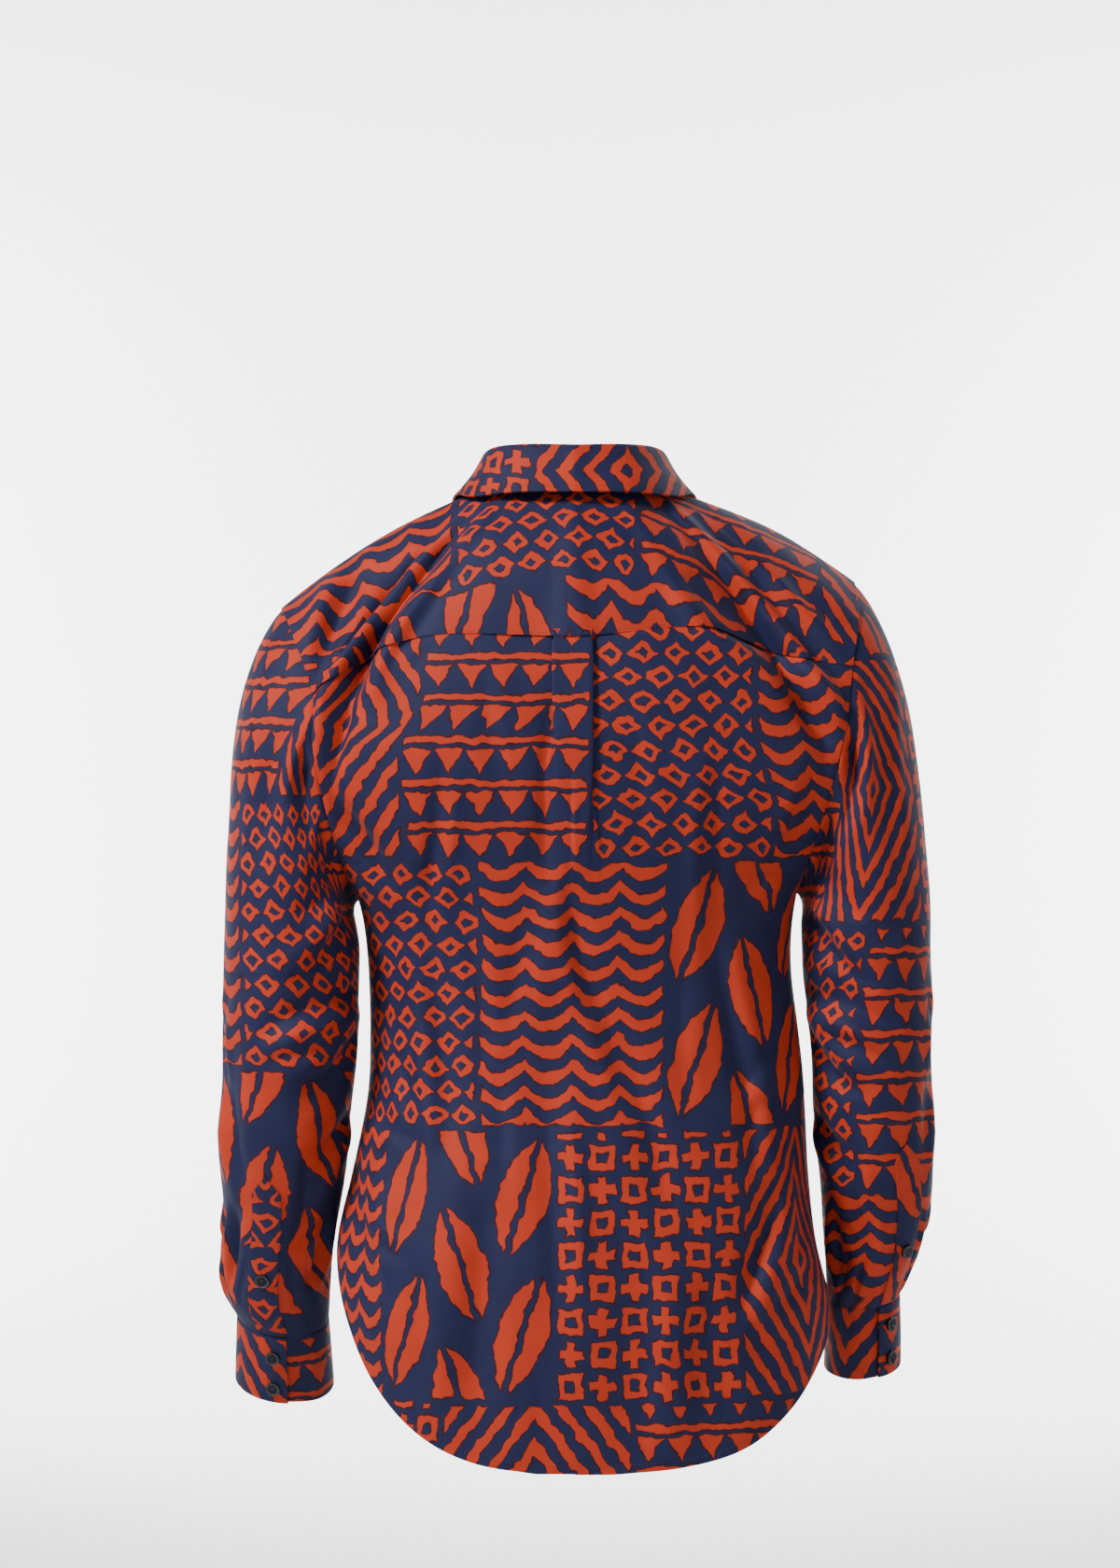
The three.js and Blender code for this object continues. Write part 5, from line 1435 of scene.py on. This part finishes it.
below_top = np.concatenate([np.zeros((1, points.shape[1])), below_top], 0)
inset_row = np.array([
    np.interp(below_top[-1, c] - LEAF_STITCH_IN, below_top[:, c], np.arange(LEAF_ROWS))
    for c in range(points.shape[1])
])
columns = np.arange(4, points.shape[1] - 4)
runs = [line_on(points, normal, inset_row[columns], columns)]
for column in (3.2, points.shape[1] - 4.2):
    last = float(np.interp(column, np.arange(points.shape[1]), inset_row))
    runs.append(line_on(points, normal, np.linspace(6, last, 50), np.full(50, column)))
sew("stitches_collar", runs, COLLAR_THICK / 2)

# Buttons: turned dark discs with a raised rim and four holes, each sewn on with a cross of thread over
# a stitched buttonhole: six down the front, one on the stand and three at the end of each sleeve. The rim
# is coloured paler than the dish as a painted highlight.
BUTTON_RADIUS = 5.7
BUTTON_THICK = 2.3
FRONT_BUTTONS_Z = (-140, -226, -312, -398, -484, -570)
STAND_BUTTON_UP = 0.45
HOLE_AT = 1.35
HOLE_RADIUS = 0.62
THREAD_RADIUS = 0.34

button_materials = []
for name, scale, detail, dark, pale, rough in (
    ("dark_button", 160, 3, (0.003, 0.003, 0.005, 1), (0.010, 0.009, 0.013, 1), 0.3),
    # the rim's paler colours are a painted highlight, not the button's own colour
    ("button_rim_painted_highlight", 240, 2, (0.022, 0.026, 0.036, 1), (0.060, 0.066, 0.082, 1), 0.22),
):
    material, shader = start_material(name)
    works = Works(material.node_tree)
    cloudy = noise(works, works.put("ShaderNodeTexCoord").outputs["Object"], scale, detail)
    tint = blend_colour(works, cloudy.outputs["Fac"], dark, pale)
    material.node_tree.links.new(tint, shader.inputs["Base Color"])
    shader.inputs["Roughness"].default_value = rough
    button_materials.append(material)
dish, painted_highlight_rim = button_materials
dish.node_tree.nodes["Principled BSDF"].inputs["Specular IOR Level"].default_value = 0.3

heights = left_front[:, 5, 2]


def front_face(z):
    """Places on the placket strip's face and ways out of it, down it from a button and across it."""
    def surface(along, across):
        rows = np.interp(-z + along, -heights, np.arange(len(heights)))
        columns = (STRIP_SAMPLES - 1) / 2 + across / STRIP_STEP
        place, out = line_on(left_front, left_normal, rows, columns)
        return place + out * STRIP_OFF, out

    return surface


front_holes = [buttonhole(front_face(z)) for z in FRONT_BUTTONS_Z]
for k, z in enumerate(FRONT_BUTTONS_Z):
    place, out = front_face(z)(np.zeros(1), np.zeros(1))
    button_places.append((f"button_front_{k + 1}", place[0] + out[0] * 0.8, out[0]))
sew("buttonholes_front", front_holes, 0.45, HOLE_PITCH)
stand_low = half_line(NECKLINE, "left", 1.0) + np.array([0, 0, 0.4])
stand_high = half_line(STAND_TOP, "left", 1.0)
stand_place = mix(stand_low, stand_high, STAND_BUTTON_UP)
stand_button = stand_place + np.array([0, -COLLAR_THICK / 2 - 0.35, 0.1])
button_places.append(("button_stand", stand_button, np.array([0, -0.995, 0.1])))


def stand_face(along, across):
    """The same on the collar stand, where the buttonhole lies level."""
    slide = np.stack([along, 0.05 * np.abs(along), across], -1)
    return stand_place + slide, np.array([0, -1.0, 0.1]) * np.ones_like(slide)


sew("buttonhole_stand", [buttonhole(stand_face)], COLLAR_THICK / 2, HOLE_PITCH)

clear_selection()
bpy.ops.mesh.primitive_cylinder_add(vertices=40, radius=BUTTON_RADIUS * MM, depth=BUTTON_THICK * MM)
button = bpy.context.object
bpy.ops.object.mode_set(mode="EDIT")
bpy.ops.mesh.select_all(action="DESELECT")
bpy.ops.object.mode_set(mode="OBJECT")
for face in button.data.polygons:
    face.select = face.normal.z > 0.9
bpy.ops.object.mode_set(mode="EDIT")
bpy.ops.mesh.inset(thickness=1.1 * MM, depth=0)
bpy.ops.mesh.inset(thickness=0.5 * MM, depth=-0.6 * MM)
bpy.ops.object.mode_set(mode="OBJECT")
soft = button.modifiers.new("turned edge", "BEVEL")
soft.width = 0.35 * MM
soft.segments = 3
soft.limit_method = "ANGLE"
bpy.ops.object.modifier_apply(modifier="turned edge")
for x, y in ((1, 1), (1, -1), (-1, 1), (-1, -1)):
    clear_selection()
    bpy.ops.mesh.primitive_cylinder_add(
        vertices=14,
        radius=HOLE_RADIUS * MM,
        depth=BUTTON_THICK * 2 * MM,
        location=(x * HOLE_AT * MM, y * HOLE_AT * MM, 0),
    )
    drill = bpy.context.object
    cut = button.modifiers.new("hole", "BOOLEAN")
    cut.object = drill
    cut.operation = "DIFFERENCE"
    cut.solver = "EXACT"
    select_only(button)
    bpy.ops.object.modifier_apply(modifier="hole")
    bpy.data.objects.remove(drill)
button.data.materials.clear()
for material in (dish, painted_highlight_rim, thread):
    button.data.materials.append(material)
# the rim's top faces take the paler material: a painted highlight
for face in button.data.polygons:
    outward = math.hypot(face.center.x, face.center.y)
    gets_painted_highlight = BUTTON_RADIUS - 1.35 < outward / MM < BUTTON_RADIUS - 0.25
    face.material_index = 1 if gets_painted_highlight and face.center.z > 0 and face.normal.z > 0.2 else 0
select_only(button)
bpy.ops.object.shade_smooth_by_angle(angle=math.radians(40))

clear_selection()
threads = []
for k in (1, -1):
    bpy.ops.mesh.primitive_cylinder_add(
        vertices=8,
        radius=THREAD_RADIUS * MM,
        depth=HOLE_AT * 2.9 * MM,
        location=(0, 0, (0.62 + 0.2 * k) * MM),
        rotation=(math.radians(90), 0, math.radians(45 * k)),
    )
    threads.append(bpy.context.object)
    bpy.context.object.data.materials.append(thread)
    bpy.ops.object.shade_smooth()
    bpy.ops.object.transform_apply(location=True, rotation=True, scale=True)

for name, place, out in button_places:
    turn = Vector(out).to_track_quat("Z", "Y").to_matrix().to_4x4()
    turn.translation = Vector(place * MM) + Vector(out) * BUTTON_THICK / 2 * MM
    made = []
    for source in (button, *threads):
        copy = source.copy()
        copy.data = source.data.copy()
        bpy.context.scene.collection.objects.link(copy)
        copy.data.transform(turn)
        made.append(copy)
    clear_selection()
    for copy in made:
        copy.select_set(True)
    bpy.context.view_layer.objects.active = made[0]
    bpy.ops.object.join()
    piece = bpy.context.object
    piece.name = "sewn_" + name
    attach(piece, "root")
    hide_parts(name)
for source in (button, *threads):
    bpy.data.objects.remove(source)
